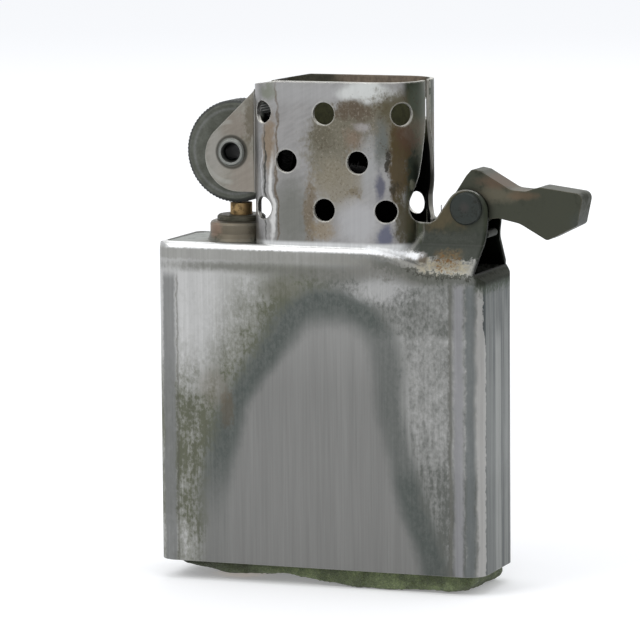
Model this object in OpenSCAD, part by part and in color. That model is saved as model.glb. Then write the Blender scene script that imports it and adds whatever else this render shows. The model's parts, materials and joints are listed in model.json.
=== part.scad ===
// Inside unit of a petrol windproof lighter: a drawn sheet case whose front and
// back run up into a perforated chimney, two ears for the flint wheel and two
// ears for the cam lever. Everything is in millimetres. The unit stands on the
// felt at z = 0, its plan is centred on the origin, the wheel is at -X and the
// cam lever at +X.

/* [Case] */
// Width of the case
case_w = 36.2; // [34:0.1:40]
// Depth of the case, front to back
case_d = 11.3; // [10.8:0.1:13]
// Height of the case wall from its lower edge to the rim
case_h = 33.9; // [30:0.1:40]
// Radius of the upright corners
case_corner = 2.0; // [1.5:0.1:3]
// Thickness of the sheet
sheet = 0.45; // [0.35:0.01:0.5]
// Radius of the rolled rim
rim_roll = 0.6; // [0.5:0.05:0.8]
// Width of the rim that laps over the top plate
rim_lap = 0.8; // [0.65:0.05:1]
// How far the left end leans in just under the rim
end_lean = 0.5; // [0.3:0.05:0.7]

/* [Chimney] */
// Height of the chimney above the rim
chimney_h = 17.1; // [15:0.1:20]
// Distance from the left end of the case to the chimney
chimney_in = 10.4; // [10:0.1:11]
// Distance from the right end of the case to the chimney
chimney_out = 7.6; // [7.4:0.1:8.2]
// How far the chimney stands back from the front of the case
chimney_back = 0.35; // [0.2:0.05:0.6]
// Radius of the chimney corners beside the wheel
wheel_end_r = 3.3; // [2.8:0.1:3.4]
// How far the chimney's top edge falls round the corners beside the wheel
mouth_fall = 0.55; // [0.3:0.05:0.8]
// Radius of the chimney corners beside the cam
cam_end_r = 4.0; // [3.2:0.1:4.2]
// Width of the gap that lets the sparks in
spark_gap = 4.3; // [4.1:0.1:4.6]
// Width of the slot at the cam end of the chimney, at its top
slot_w = 1.5; // [1:0.1:2]
// Diameter of the air holes
hole_d = 2.35; // [1.8:0.05:2.8]
// Height of the lowest row of air holes above the rim
hole_row = 3.8; // [3.2:0.1:4.5]
// Distance between two rows of air holes
hole_pitch = 5.0; // [4.4:0.1:5.4]

/* [Wheel] */
// Diameter of the flint wheel
wheel_d = 10.8; // [10:0.1:11.4]
// Running gap between the wheel and each ear
wheel_gap = 0.25; // [0.15:0.05:0.4]
// Number of teeth round the wheel
wheel_teeth = 84; // [60:1:96]
// Depth of a tooth
tooth_depth = 0.11; // [0.08:0.01:0.25]
// Distance from the left end of the case to the wheel axle
axle_in = 7.7; // [7.4:0.1:8]
// Height of the wheel axle above the rim
axle_up = 9.3; // [9.2:0.1:10.5]
// Radius of the ears round the wheel axle
wheel_ear_r = 3.7; // [3:0.1:4.2]
// Diameter of the hollow rivet that is the wheel's axle
axle_d = 2.2; // [1.8:0.1:2.5]
// Diameter of the rolled flanges of the hollow rivet
axle_flange_d = 3.0; // [2.8:0.1:3.6]

/* [Cam lever] */
// Distance from the right end of the case to the cam pivot
pivot_in = 2.6; // [2.4:0.1:2.8]
// Height of the cam pivot above the rim
pivot_up = 4.1; // [4:0.1:4.6]
// Thickness of the cam lever
cam_w = 3.4; // [3:0.1:3.6]
// Gap between the cam lever and each ear
cam_gap = 0.25; // [0.15:0.05:0.4]
// Reach of the cam lever beyond its pivot
cam_reach = 12.3; // [10:0.1:14]
// Radius of the cam's hub
cam_hub_r = 2.05; // [1.9:0.05:2.1]
// Radius of the ears round the cam pivot
cam_ear_r = 2.3; // [2.1:0.05:2.6]
// Diameter of the cam rivet's shank
cam_pin_d = 2.4; // [2:0.1:2.6]
// Diameter of the cam rivet's heads
cam_head_d = 3.4; // [3:0.1:3.8]
// Depth below the rim of the bend where the shoulders start
shoulder_drop = 2.4; // [2:0.1:3]
// Height above the rim at which the shoulders turn up into the ears
shoulder_rise = 1.0; // [0.8:0.05:1.2]
// Thickness of the leaf spring under the cam
leaf_t = 0.35; // [0.25:0.05:0.45]
// Width of the leaf spring
leaf_w = 2.9; // [2.4:0.1:3.2]

/* [Flint] */
// Diameter of the flint
flint_d = 2.33; // [2:0.01:2.5]
// Length of the flint
flint_len = 5.2; // [4:0.1:6]
// Wall of the flint tube
tube_wall = 0.5; // [0.4:0.05:0.6]
// Radius of the tube's upper flange
flange_r = 2.55; // [2.3:0.05:2.8]
// Thickness of the tube's upper flange
flange_t = 0.6; // [0.4:0.05:0.8]
// Radius of the boss at the foot of the flange
boss_r = 3.3; // [3:0.1:3.5]
// How far the boss's foot flares out on the plate
boss_flare = 0.9; // [0.5:0.1:1]
// Height of the boss above the rim
boss_up = 1.95; // [1.6:0.05:2.1]
// Wire of the flint spring
wire_d = 0.36; // [0.3:0.02:0.4]
// Number of turns of the flint spring
spring_turns = 16; // [12:1:18]
// Length of the brass tip on the flint spring
tip_len = 2.2; // [1.6:0.1:3]
// Length of the screw's shank inside the tube
screw_len = 7.2; // [5:0.1:9]
// Diameter of the screw's head
screw_head_d = 5.6; // [5:0.1:6]
// Thickness of the screw's head
screw_head_t = 1.3; // [1:0.1:1.5]

/* [Wick and packing] */
// Diameter of the wick
wick_d = 3.2; // [2.6:0.1:3.4]
// Height of the wick's end above the rim
wick_up = 8.5; // [6:0.5:10]
// Gap between the packing and what is round it
packing_gap = 0.2; // [0.15:0.05:0.3]
// Thickness of the top and bottom pads of packing
packing_end = 2.1; // [1.6:0.1:2.4]

/* [Felt] */
// How far the felt stands out below the case
felt_drop = 2.0; // [1.7:0.1:2.6]
// How far the felt reaches up into the case
felt_in = 1.7; // [1.2:0.1:2.2]
// Gap between the felt and the case wall
felt_gap = 0.35; // [0.3:0.05:0.5]
// Distance from the left end of the case to the fold of the lifting end
fold_in = 19.6; // [17:0.1:22]

/* [Hidden] */
$fn = 96;

// Clearances
fit = 0.03;
run = 0.05;
seat = 0.02;
over = 1;

// Levels
case_bottom = felt_drop;
rim = case_bottom + case_h;
rim_under = rim - sheet;
chimney_top = rim + chimney_h;
shoulder = rim - shoulder_drop;
ear_root = rim + shoulder_rise;
felt_top = case_bottom + felt_in;

// Plan
left = -case_w / 2;
right = case_w / 2;
half_d = case_d / 2;
chimney_x0 = left + chimney_in;
chimney_x1 = right - chimney_out;
chimney_len = chimney_x1 - chimney_x0;
chimney_mid = (chimney_x0 + chimney_x1) / 2;
chimney_half = half_d - chimney_back;
wheel_tangent = chimney_x0 + wheel_end_r;
cam_tangent = chimney_x1 - cam_end_r;

// Wheel
axle_x = left + axle_in;
axle_z = rim + axle_up;
wheel_r = wheel_d / 2;
wheel_w = spark_gap - 2 * wheel_gap;
wheel_ear_out = spark_gap / 2 + sheet;
axle_flange_t = 0.35;
axle_bore_r = axle_d / 2 - 0.3;

// Cam
pivot_x = right - pivot_in;
pivot_z = rim + pivot_up;
cam_ear_in = cam_w / 2 + cam_gap;
cam_ear_out = cam_ear_in + sheet;
cam_ear_z = pivot_z - 0.35;
cam_head_t = 0.45;
ear_edge = right - 0.9;
ear_slope = 56;
ear_left = [pivot_x - cam_ear_r * sin(ear_slope), cam_ear_z + cam_ear_r * cos(ear_slope)];
notch_z = rim + 2.5;
notch_r = 1.4;
notch_end = ear_left.x - (ear_left.y - notch_z) / tan(ear_slope);
notch_x = notch_end - notch_r * tan(ear_slope / 2);
lean = atan2(half_d - cam_ear_out, ear_root - shoulder);

// The body's top line falls from the rim to the shoulders along the chimney's curve
fall_x0 = cam_tangent + 0.1;
fall_x1 = chimney_x1 + 3.1;
fall = atan2(shoulder_drop, fall_x1 - fall_x0);
end_lip = 0.9;
shoulder_foot = shoulder - case_h * 0.24;

// Top plate
plate_gap = 0.1;
plate_step_x = cam_tangent - 0.3;
plate_top = rim_under;
plate_low = shoulder - 1.2;
plate_skirt = plate_low - 1.2;
panel_top = rim - 0.1;

// Leaf spring: a foot on the plate, a bend beside the chimney and a long upper leg
leaf_top = pivot_z - cam_hub_r - 0.3;
leaf_foot = plate_low + seat;
leaf_bend_r = (leaf_top - leaf_foot) / 2;
leaf_bend_x = chimney_x1 + 0.4 + leaf_bend_r;
leaf_end = pivot_x + 1.7;
leaf_roll_r = 0.4;
leaf_hole_x = leaf_bend_x + 1.2;
leaf_pin_r = 0.5;
leaf_pin_foot = 0.25;

// Flint and its feed
flint_r = flint_d / 2;
tube_bore = flint_r + 0.085;
tube_r = tube_bore + tube_wall;
flange_z = rim + boss_up;
tube_top = flange_z + flange_t;
flint_top = axle_z - wheel_r - 0.12;
flint_foot = flint_top - flint_len;
tip_foot = flint_foot - tip_len;
screw_r = tube_bore + 0.17;
screw_seat = 0.6;
screw_top = felt_top + screw_len;
head_top = screw_seat + screw_head_t;
feed_gap = 0.05;
tip_stem_r = 0.5;
tip_stem = 1.6;
coil_r = tube_bore - 0.1 - wire_d / 2;
coil_z0 = screw_top + wire_d / 2 + feed_gap;
coil_z1 = tip_foot - wire_d / 2 - feed_gap;
coil_pitch = (coil_z1 - coil_z0) / spring_turns;
echo(least_gap_between_turns = coil_pitch - wire_d);

// Packing
pack_x0 = axle_x + tube_r + 0.3;
pack_x1 = right - sheet - packing_gap;
pack_half = half_d - sheet - packing_gap;
pack_z0 = felt_top + 0.3;
pack_z1 = plate_low - sheet - leaf_pin_foot - packing_gap;
wick_r = wick_d / 2;
wick_x = chimney_mid + 0.6;
runs = 4;
run_z0 = pack_z0 + packing_end + packing_gap + wick_r;
run_room = pack_z1 - pack_z0 - wick_d - 2 * (packing_end + packing_gap);
run_pitch = floor(run_room / (runs - 1) * 10) / 10;
turn_r = run_pitch / 2;
run_x0 = pack_x0 + turn_r + wick_r;
run_x1 = pack_x1 - turn_r - wick_r;
wick_bend_r = wick_r * 1.56;

// Unit vector along v
function unit(v) = v / norm(v);

// Vector v turned by an angle
function turned(v, angle) =
    [v.x * cos(angle) - v.y * sin(angle), v.x * sin(angle) + v.y * cos(angle)];

// Points of the arc that rounds the corner at b, between a and c, by radius r
function corner(a, b, c, r, steps) =
    r == 0 ? [b] :
    let (u = unit(a - b), v = unit(c - b), half = acos(u * v) / 2,
         centre = b + unit(u + v) * r / sin(half),
         start = b + u * r / tan(half) - centre,
         sweep = -sign(cross(u, v)) * (180 - 2 * half))
    [for (i = [0:steps]) centre + turned(start, sweep * i / steps)];

// Outline through points [x, y, radius], each corner rounded by its radius
function rounded(points, steps = 8) =
    let (n = len(points), at = [for (p = points) [p.x, p.y]])
    [for (i = [0:n - 1])
        each corner(at[(i + n - 1) % n], at[i], at[(i + 1) % n], points[i][2], steps)];

// Half an outline and its mirror image across the upright axis
function both_sides(half) =
    concat(half, [for (i = [len(half) - 1:-1:0]) [-half[i].x, half[i].y, half[i][2]]]);

// Half an outline and its mirror image across the level axis
function both_ends(half) =
    concat(half, [for (i = [len(half) - 1:-1:0]) [half[i].x, -half[i].y]]);

// A profile drawn in X and Z, reaching from y = -half to y = half
module across(half) {
    translate([0, half, 0])
        rotate([90, 0, 0])
            linear_extrude(2 * half)
                children();
}

// A profile drawn in Y and Z, reaching from x0 to x1
module along(x0, x1) {
    translate([x0, 0, 0])
        rotate([90, 0, 90])
            linear_extrude(x1 - x0)
                children();
}

// A round bar along Y, centred on the point x, z
module cross_bar(x, z, r, half) {
    translate([x, 0, z])
        rotate([90, 0, 0])
            cylinder(r = r, h = 2 * half, center = true);
}

// Rectangle with round corners, centred on the origin
module round_rect(w, d, r) {
    square([w - 2 * r, d], center = true);
    square([w, d - 2 * r], center = true);
    for (x = [-1, 1], y = [-1, 1])
        translate([x * (w / 2 - r), y * (d / 2 - r)])
            circle(r);
}

// Plan of the case, its wall moved in by an inset
module case_plan(inset) {
    round_rect(case_w - 2 * inset, case_d - 2 * inset, case_corner - inset);
}

// Plan of the chimney, its wall moved in by an inset
module chimney_plan(inset) {
    reach = chimney_half - inset;
    r0 = wheel_end_r - inset;
    r1 = cam_end_r - inset;
    translate([wheel_tangent, -reach])
        square([cam_tangent - wheel_tangent, 2 * reach]);
    for (side = [-1, 1]) {
        translate([wheel_tangent, side * (reach - r0)])
            circle(r0);
        translate([cam_tangent, side * (reach - r1)])
            circle(r1);
    }
    translate([wheel_tangent - r0, r0 - reach])
        square([r0, 2 * (reach - r0)]);
    translate([cam_tangent, r1 - reach])
        square([r1, 2 * (reach - r1)]);
}

// Cross-section of the body with its rolled upper edges, the top at z = 0
module roof_profile(half, roll, depth) {
    translate([-half - over, -depth])
        square([2 * (half + over), depth - roll]);
    translate([-half + roll, -depth])
        square([2 * (half - roll), depth]);
    for (side = [-1, 1])
        translate([side * (half - roll), -roll])
            circle(roll);
}

// Side view of the body: level rim, then the fall to the shoulders
module body_side(inset) {
    drop = inset * tan(fall / 2);
    slant = inset * tan(22.5);
    lean_h = 1.7;
    polygon(rounded([
        [left - over, case_bottom - over, 0],
        [left + inset - over, rim - lean_h * (1 + over / end_lean), 0],
        [left + inset + end_lean, rim - inset, 0.3],
        [fall_x0 - drop, rim - inset, 2],
        [fall_x1 - drop, shoulder - inset, 2],
        [ear_edge - slant, shoulder - inset, 0],
        [right - inset + over, shoulder - end_lip - slant - over, 0],
        [right + over, case_bottom - over, 0]]));
}

// The body as a solid, its wall moved in by an inset
module body_solid(inset, bottom) {
    roll = max(0.1, rim_roll - inset * 0.7);
    intersection() {
        translate([0, 0, bottom])
            linear_extrude(case_h + over)
                case_plan(inset);
        translate([0, 0, rim - inset])
            along(left - over, right + over)
                roof_profile(half_d - inset, roll, case_h + 2 * over);
        translate([fall_x0, 0, rim - inset])
            rotate([0, fall, 0])
                along(-case_w, case_w)
                    roof_profile(half_d - inset, roll, 2 * case_h);
        across(half_d)
            body_side(inset);
    }
}

// Cross-section of the shoulders and the ears above them
module shoulder_profile(inset, low, high) {
    drop = inset * tan(lean / 2);
    polygon(rounded(both_sides([
        [half_d - inset, low, 0],
        [half_d - inset, shoulder - drop, 1.4 - inset],
        [cam_ear_out - inset, ear_root - drop, 1.8 + inset],
        [cam_ear_out - inset, high, 0]])));
}

// Side view of the shoulders and ears at the cam end
module cam_end_side() {
    polygon(rounded([
        [cam_tangent, shoulder_foot, 0],
        [right, shoulder_foot, 0],
        [right, shoulder - end_lip, 0.3],
        [ear_edge, shoulder, 0],
        [ear_edge + 0.35, ear_root, 0.6],
        [pivot_x + cam_ear_r - 0.1, ear_root + 1.2, 0.6],
        [pivot_x + cam_ear_r, cam_ear_z, 0],
        [pivot_x, cam_ear_z, 0],
        [ear_left.x, ear_left.y, 0],
        [notch_end, notch_z, notch_r],
        [cam_tangent, notch_z, 0]]));
    translate([pivot_x, cam_ear_z])
        circle(cam_ear_r);
}

// Side view of the hollow under the shoulders, open at the cam end
module cam_end_hollow() {
    slant = sheet * tan(22.5);
    polygon([
        [cam_tangent - 1.5, case_bottom + over],
        [right - sheet, case_bottom + over],
        [right - sheet, shoulder - end_lip - slant],
        [ear_edge - sheet + slant / 2, shoulder - sheet + slant / 2],
        [ear_edge, shoulder],
        [right + over, shoulder],
        [right + over, pivot_z + 3],
        [cam_tangent - 1.5, pivot_z + 3]]);
}

// That hollow keeps inside the end wall's round corners up to the shoulders
module cam_end_reach() {
    linear_extrude(shoulder)
        case_plan(sheet);
    translate([cam_tangent - 1.5, -half_d, shoulder])
        cube([case_w, case_d, chimney_h]);
}

// Side view of the ears beside the wheel
module wheel_ear_side() {
    centre = [axle_x + 0.7, axle_z - 0.45];
    root = chimney_x0 + 1.2;
    tangent = centre + (wheel_ear_r - 0.01) * [-cos(46), sin(46)];
    climb = (root - tangent.x) * tan(44);
    translate(centre)
        circle(wheel_ear_r);
    polygon([
        [centre.x, centre.y - wheel_ear_r],
        [root, centre.y - wheel_ear_r],
        [root, tangent.y + climb],
        tangent,
        centre]);
}

// Half widths of the cam end's slot against the height above the rim, and bend radii
slot_steps = [
    [3.65, notch_z - rim, 1.6], [3.65, 4.9, 1.2], [2.4, 7.3, 4], [slot_w / 2, 12.4, 6],
    [slot_w / 2, chimney_h + over, 0]];

// End view of the slot in the chimney
module slot_profile() {
    translate([0, rim])
        polygon(rounded(both_sides(slot_steps)));
}

// The notch between the chimney and the cam ears, with the slot above it
module cam_notch() {
    along(chimney_x1 - cam_end_r * 0.4, notch_x)
        slot_profile();
}

// Air holes along the front sheet from its middle, as parts of the chimney's
// length, lowest row first
hole_rows = [[-0.4125, -0.025, 0.3465], [-0.254, 0.178], [-0.4125, -0.025, 0.4425]];

// The top edge's fall round the corners beside the wheel
module mouth_cut() {
    slope = mouth_fall / wheel_end_r;
    across(half_d)
        polygon([
            [chimney_x0 - over, chimney_top - mouth_fall - over * slope],
            [wheel_tangent + over, chimney_top + over * slope],
            [chimney_x0 - over, chimney_top + 2 * over]]);
}

// One drill through the front sheet, square to it also round the corners
module air_hole(along_sheet, z) {
    past_left = max(0, wheel_tangent - along_sheet);
    past_right = max(0, along_sheet - cam_tangent);
    r = past_left > 0 ? wheel_end_r : cam_end_r;
    turn = (past_right - past_left) / r * 180 / PI;
    x = min(max(along_sheet, wheel_tangent), cam_tangent);
    translate([x, -chimney_half + r, z])
        rotate([0, 0, turn])
            translate([0, 1.2 - r, 0])
                rotate([90, 0, 0])
                    cylinder(d = hole_d, h = 2.6);
}

module air_holes() {
    for (row = [0:len(hole_rows) - 1], part = hole_rows[row])
        air_hole(chimney_mid + part * chimney_len, rim + hole_row + row * hole_pitch);
}

// Small round where the ears turn out of the chimney's corners
module ear_bend(side) {
    bend = 0.6;
    translate([chimney_x0 + 0.1, side * wheel_ear_out])
        difference() {
            translate([-bend, side > 0 ? 0 : -bend])
                square([bend, bend]);
            translate([-bend, side * bend])
                circle(bend);
        }
}

// Plan of the fillet where a cam ear leaves the chimney's round corner
module cam_bend(side) {
    bend = 1.2;
    bite = 0.03;
    middle = chimney_half - cam_end_r;
    out = cam_ear_out + bend - bite;
    arc = cam_end_r + bend - bite;
    x = cam_tangent + sqrt(arc * arc - pow(out - middle, 2));
    inner = cam_ear_out - 0.3;
    touch = [x - (x - cam_tangent) * bend / arc, out - (out - middle) * bend / arc];
    difference() {
        polygon([
            [touch.x, side * touch.y],
            [x, side * (cam_ear_out - bite)],
            [x, side * inner],
            [touch.x - 0.6, side * inner]]);
        translate([x, side * out])
            circle(bend);
    }
}

module case_shell() {
    color("darkgray")
        difference() {
            union() {
                body_solid(0, case_bottom);
                translate([0, 0, rim - 2 * sheet])
                    linear_extrude(chimney_h + 2 * sheet)
                        chimney_plan(0);
                intersection() {
                    along(cam_tangent, right)
                        shoulder_profile(0, shoulder_foot, pivot_z + 3);
                    translate([0, 0, case_bottom])
                        linear_extrude(case_h + chimney_h)
                            case_plan(0);
                    across(half_d)
                        cam_end_side();
                }
                translate([0, 0, shoulder])
                    linear_extrude(notch_z + notch_r - shoulder)
                        for (side = [-1, 1])
                            cam_bend(side);
                across(wheel_ear_out)
                    wheel_ear_side();
                intersection() {
                    across(half_d)
                        wheel_ear_side();
                    translate([0, 0, rim + over])
                        linear_extrude(chimney_h)
                            for (side = [-1, 1])
                                ear_bend(side);
                }
            }
            body_solid(sheet, case_bottom - over);
            translate([0, 0, rim - over])
                linear_extrude(chimney_h + 2 * over)
                    chimney_plan(sheet);
            intersection() {
                along(cam_tangent - 1.5, right + over)
                    shoulder_profile(sheet, case_bottom, pivot_z + 3);
                across(half_d)
                    cam_end_hollow();
                cam_end_reach();
            }
            plate_mouth();
            spark_slot();
            mouth_cut();
            cam_notch();
            for (side = [0, 1])
                mirror([0, side, 0])
                    air_holes();
            cross_bar(axle_x, axle_z, axle_d / 2 + seat, half_d);
            cross_bar(pivot_x, pivot_z, cam_pin_d / 2 + seat, half_d);
        }
}

// Opening in the rim that the top plate shows in
module plate_mouth() {
    translate([0, 0, rim_under - seat])
        linear_extrude(over)
            plate_window(0);
}

// Plan of that opening, moved in by an inset
module plate_window(inset) {
    difference() {
        intersection() {
            case_plan(rim_lap + inset);
            translate([left, -half_d])
                square([wheel_tangent - left - inset, case_d]);
        }
        chimney_plan(-inset);
    }
}

// Gap between the wheel ears, right into the chimney
module spark_slot() {
    translate([left + 1, -spark_gap / 2, rim_under - seat])
        cube([wheel_tangent - left - 1, spark_gap, sheet + 2 * seat]);
    translate([left, -spark_gap / 2, rim + seat])
        cube([wheel_tangent - left, spark_gap, chimney_h + over]);
}

module top_plate() {
    color("dimgray")
        difference() {
            union() {
                intersection() {
                    body_solid(sheet + fit, plate_skirt);
                    across(half_d)
                        plate_side(0);
                }
                translate([0, 0, plate_top - sheet])
                    linear_extrude(panel_top - plate_top + sheet)
                        plate_window(plate_gap);
                boss();
                translate([wick_x, 0, plate_top - sheet])
                    cylinder(r = wick_r + 0.3 + sheet, h = sheet + over);
            }
            intersection() {
                body_solid(2 * sheet, plate_skirt - over);
                across(half_d)
                    plate_side(sheet);
            }
            translate([axle_x, 0, plate_skirt])
                cylinder(r = tube_r + fit, h = case_h);
            translate([wick_x, 0, plate_skirt])
                cylinder(r = wick_r + 0.3, h = case_h);
            translate([leaf_hole_x, 0, plate_skirt])
                cylinder(r = leaf_pin_r + seat, h = case_h);
        }
}

// Pressed boss round the flint tube: its flared foot stops short of the chimney
module boss() {
    boss_h = flange_z - plate_top;
    translate([axle_x, 0, plate_top])
        intersection() {
            rotate_extrude()
                polygon([
                    [0, -sheet / 2],
                    [boss_r + boss_flare, -sheet / 2],
                    [boss_r + boss_flare, 0.08],
                    [boss_r + boss_flare * 0.45, 0.22],
                    [boss_r + boss_flare * 0.15, 0.6],
                    [boss_r, 1.1],
                    [boss_r, boss_h - 0.35],
                    [boss_r - 0.12, boss_h - 0.12],
                    [boss_r - 0.4, boss_h],
                    [0, boss_h]]);
            union() {
                cylinder(r = boss_r, h = boss_h + over);
                translate([-boss_r * 2, -boss_r * 2, -2 * over])
                    cube([boss_r * 2 + chimney_x0 - 0.3 - axle_x, boss_r * 4, boss_h + 3 * over]);
            }
        }
}

// Side view of the plate, which steps down under the cam
module plate_side(inset) {
    low = plate_skirt - (inset > 0 ? 2 * over : 0);
    polygon([
        [left, low],
        [right, low],
        [right, plate_low - inset],
        [plate_step_x - inset, plate_low - inset],
        [plate_step_x - inset, plate_top - inset],
        [left, plate_top - inset]]);
}

module flint_tube() {
    foot = felt_top + seat;
    color("gray")
        translate([axle_x, 0, 0])
            rotate_extrude()
                difference() {
                    union() {
                        translate([0, foot])
                            square([tube_r, tube_top - foot]);
                        polygon([
                            [0, flange_z],
                            [flange_r, flange_z],
                            [flange_r, tube_top - 0.2],
                            [flange_r - 0.2, tube_top],
                            [0, tube_top]]);
                    }
                    translate([0, foot - over])
                        square([tube_bore, case_h + chimney_h]);
                    translate([0, foot - over])
                        square([screw_r + 0.06, screw_len + over + 0.5]);
                }
}

// Hollow rivet with a rolled flange on the outside of each ear
module wheel_rivet() {
    out = wheel_ear_out + seat;
    lip = axle_flange_d / 2;
    color("gray")
        translate([axle_x, 0, axle_z])
            rotate([90, 0, 0])
                rotate_extrude()
                    polygon(both_ends([
                        [axle_bore_r, out - 0.3],
                        [lip - 0.4, out + axle_flange_t],
                        [lip - 0.2, out + axle_flange_t],
                        [lip, out + 0.15],
                        [lip, out],
                        [axle_d / 2, out]]));
}

// Solid rivet with a flat head on the outside of each ear
module cam_rivet() {
    out = cam_ear_out + seat;
    head = cam_head_d / 2;
    color("dimgray")
        translate([pivot_x, 0, pivot_z])
            rotate([90, 0, 0])
                rotate_extrude()
                    polygon(both_ends([
                        [0, out + cam_head_t],
                        [head - 0.15, out + cam_head_t],
                        [head, out + cam_head_t - 0.15],
                        [head, out],
                        [cam_pin_d / 2, out]]));
}

module cam_spring() {
    mid = leaf_foot + leaf_bend_r;
    color("slategray")
        difference() {
            across(leaf_w / 2) {
                translate([leaf_bend_x, leaf_foot])
                    square([leaf_hole_x + 1.3 - leaf_bend_x, leaf_t]);
                translate([leaf_bend_x, leaf_top - leaf_t])
                    square([leaf_end - leaf_bend_x, leaf_t]);
                intersection() {
                    translate([leaf_bend_x, mid])
                        difference() {
                            circle(leaf_bend_r);
                            circle(leaf_bend_r - leaf_t);
                        }
                    translate([leaf_bend_x - 2 * leaf_bend_r, leaf_foot - over])
                        square([2 * leaf_bend_r, 2 * leaf_bend_r + 2 * over]);
                }
                intersection() {
                    translate([leaf_end, leaf_top - leaf_roll_r])
                        difference() {
                            circle(leaf_roll_r);
                            circle(leaf_roll_r - leaf_t + 0.05);
                        }
                    translate([leaf_end, leaf_top - 2 * leaf_roll_r])
                        square(2 * leaf_roll_r);
                }
            }
            translate([leaf_hole_x, 0, leaf_foot - over])
                cylinder(r = leaf_pin_r + seat, h = leaf_t + 1.5 * over);
        }
}

module spring_rivet() {
    under = plate_low - sheet;
    color("gray")
        translate([leaf_hole_x, 0, 0]) {
            translate([0, 0, under - leaf_pin_foot])
                cylinder(r = leaf_pin_r + 0.35, h = leaf_pin_foot - seat);
            translate([0, 0, under - 0.1])
                cylinder(r = leaf_pin_r, h = leaf_foot + leaf_t - under + 0.2);
            translate([0, 0, leaf_foot + leaf_t + seat])
                cylinder(r1 = leaf_pin_r + 0.4, r2 = leaf_pin_r + 0.1, h = 0.35);
        }
}

module flint_wheel() {
    step = 360 / wheel_teeth;
    color("dimgray")
        translate([axle_x, 0, axle_z])
            rotate([90, 0, 0])
                difference() {
                    intersection() {
                        linear_extrude(wheel_w, center = true)
                            polygon([for (i = [0:wheel_teeth - 1], tip = [0, 1])
                                let (r = wheel_r - (1 - tip) * tooth_depth,
                                     a = (i + tip * 0.35) * step)
                                r * [cos(a), sin(a)]]);
                        rotate_extrude()
                            polygon([
                                [0, -wheel_w / 2],
                                [wheel_r - 0.45, -wheel_w / 2],
                                [wheel_r + 0.15, -wheel_w / 2 + 0.4],
                                [wheel_r + 0.15, wheel_w / 2 - 0.4],
                                [wheel_r - 0.45, wheel_w / 2],
                                [0, wheel_w / 2]]);
                    }
                    cylinder(r = axle_d / 2 + run, h = wheel_w + over, center = true);
                }
}

// Corners of the cam lever as hundredths of its reach, each [x, z, radius]
cam_shape = [
    [-2, 27, 7], [3, 32.5, 3], [11, 31, 4], [37, 16, 14], [50, 15, 12], [62, 19, 10],
    [100.6, 14, 6], [95, -12.5, 4], [69, -25.5, 4], [45, -12, 20], [26, -8, 7]];

// The lever's outline from its pivot, with the hub's arc last
cam_corners = concat(
    cam_shape * cam_reach / 100,
    [for (a = [-35:-10:-205]) [cam_hub_r * cos(a), cam_hub_r * sin(a), 0]]);

module cam_lever() {
    color("dimgray")
        difference() {
            across(cam_w / 2)
                translate([pivot_x, pivot_z])
                    polygon(rounded(cam_corners));
            cross_bar(pivot_x, pivot_z, cam_pin_d / 2 + run, cam_w);
        }
}

module flint() {
    color("peru")
        translate([axle_x, 0, flint_foot])
            cylinder(r = flint_r, h = flint_len);
}

module spring_tip() {
    color("goldenrod")
        translate([axle_x, 0, tip_foot]) {
            cylinder(r = flint_r - 0.03, h = tip_len - seat);
            translate([0, 0, -tip_stem])
                cylinder(r = tip_stem_r, h = tip_stem + seat);
        }
}

module flint_spring() {
    sides = 6;
    per_turn = 8;
    rings = spring_turns * per_turn;
    points = [for (i = [0:rings], k = [0:sides - 1])
        let (t = i * 360 / per_turn, a = k * 360 / sides,
             r = coil_r + cos(a) * wire_d / 2)
        [r * cos(t), r * sin(t), coil_z0 + i * coil_pitch / per_turn + sin(a) * wire_d / 2]];
    skin = [for (i = [0:rings - 1], k = [0:sides - 1])
        let (a = i * sides + k, b = i * sides + (k + 1) % sides)
        each [[a, a + sides, b], [b, a + sides, b + sides]]];
    caps = [for (k = [1:sides - 2])
        each [[0, k, k + 1], [rings * sides, rings * sides + k + 1, rings * sides + k]]];
    color("silver")
        translate([axle_x, 0, 0])
            polyhedron(points, concat(skin, caps));
}

module flint_screw() {
    head = screw_head_d / 2;
    color("goldenrod")
        translate([axle_x, 0, 0])
            difference() {
                rotate_extrude()
                    polygon([
                        [0, screw_seat],
                        [head - 0.3, screw_seat],
                        [head, screw_seat + 0.3],
                        [head, head_top],
                        [screw_r, head_top],
                        [screw_r, screw_top - 0.3],
                        [screw_r - 0.3, screw_top],
                        [0, screw_top]]);
                translate([-head, -0.45, screw_seat - over])
                    cube([2 * head, 0.9, over + 0.6]);
            }
}

// A straight run of the wick from x0 to x1 at the height z
module wick_run(x0, x1, z) {
    translate([x0, 0, z])
        rotate([0, 90, 0])
            cylinder(r = wick_r, h = x1 - x0);
}

// A turn of the wick about x, z, over an angle that starts at another angle
module wick_turn(x, z, r, start, sweep) {
    translate([x, 0, z])
        rotate([90, 0, 0])
            rotate([0, 0, start])
                rotate_extrude(angle = sweep)
                    translate([r, 0])
                        circle(wick_r);
}

module wick() {
    top_run = run_z0 + (runs - 1) * run_pitch;
    bend_z = top_run + wick_bend_r;
    color("wheat") {
        translate([wick_x, 0, bend_z])
            cylinder(r = wick_r, h = rim + wick_up - bend_z);
        wick_turn(wick_x + wick_bend_r, bend_z, wick_bend_r, 180, 90);
        wick_run(wick_x + wick_bend_r, run_x1, top_run);
        for (i = [0:runs - 2]) {
            wick_run(run_x0, run_x1, run_z0 + i * run_pitch);
            wick_turn(i % 2 == 0 ? run_x1 : run_x0, run_z0 + (i + 0.5) * run_pitch, turn_r,
                i % 2 == 0 ? -90 : 90, 180);
        }
    }
}

// A pad of packing with rounded upright edges, from x0 to x1 and z0 to z1
module pad(x0, x1, z0, z1, half) {
    translate([(x0 + x1) / 2, 0, z0])
        linear_extrude(z1 - z0)
            round_rect(x1 - x0, 2 * half, case_corner - sheet);
}

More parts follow.
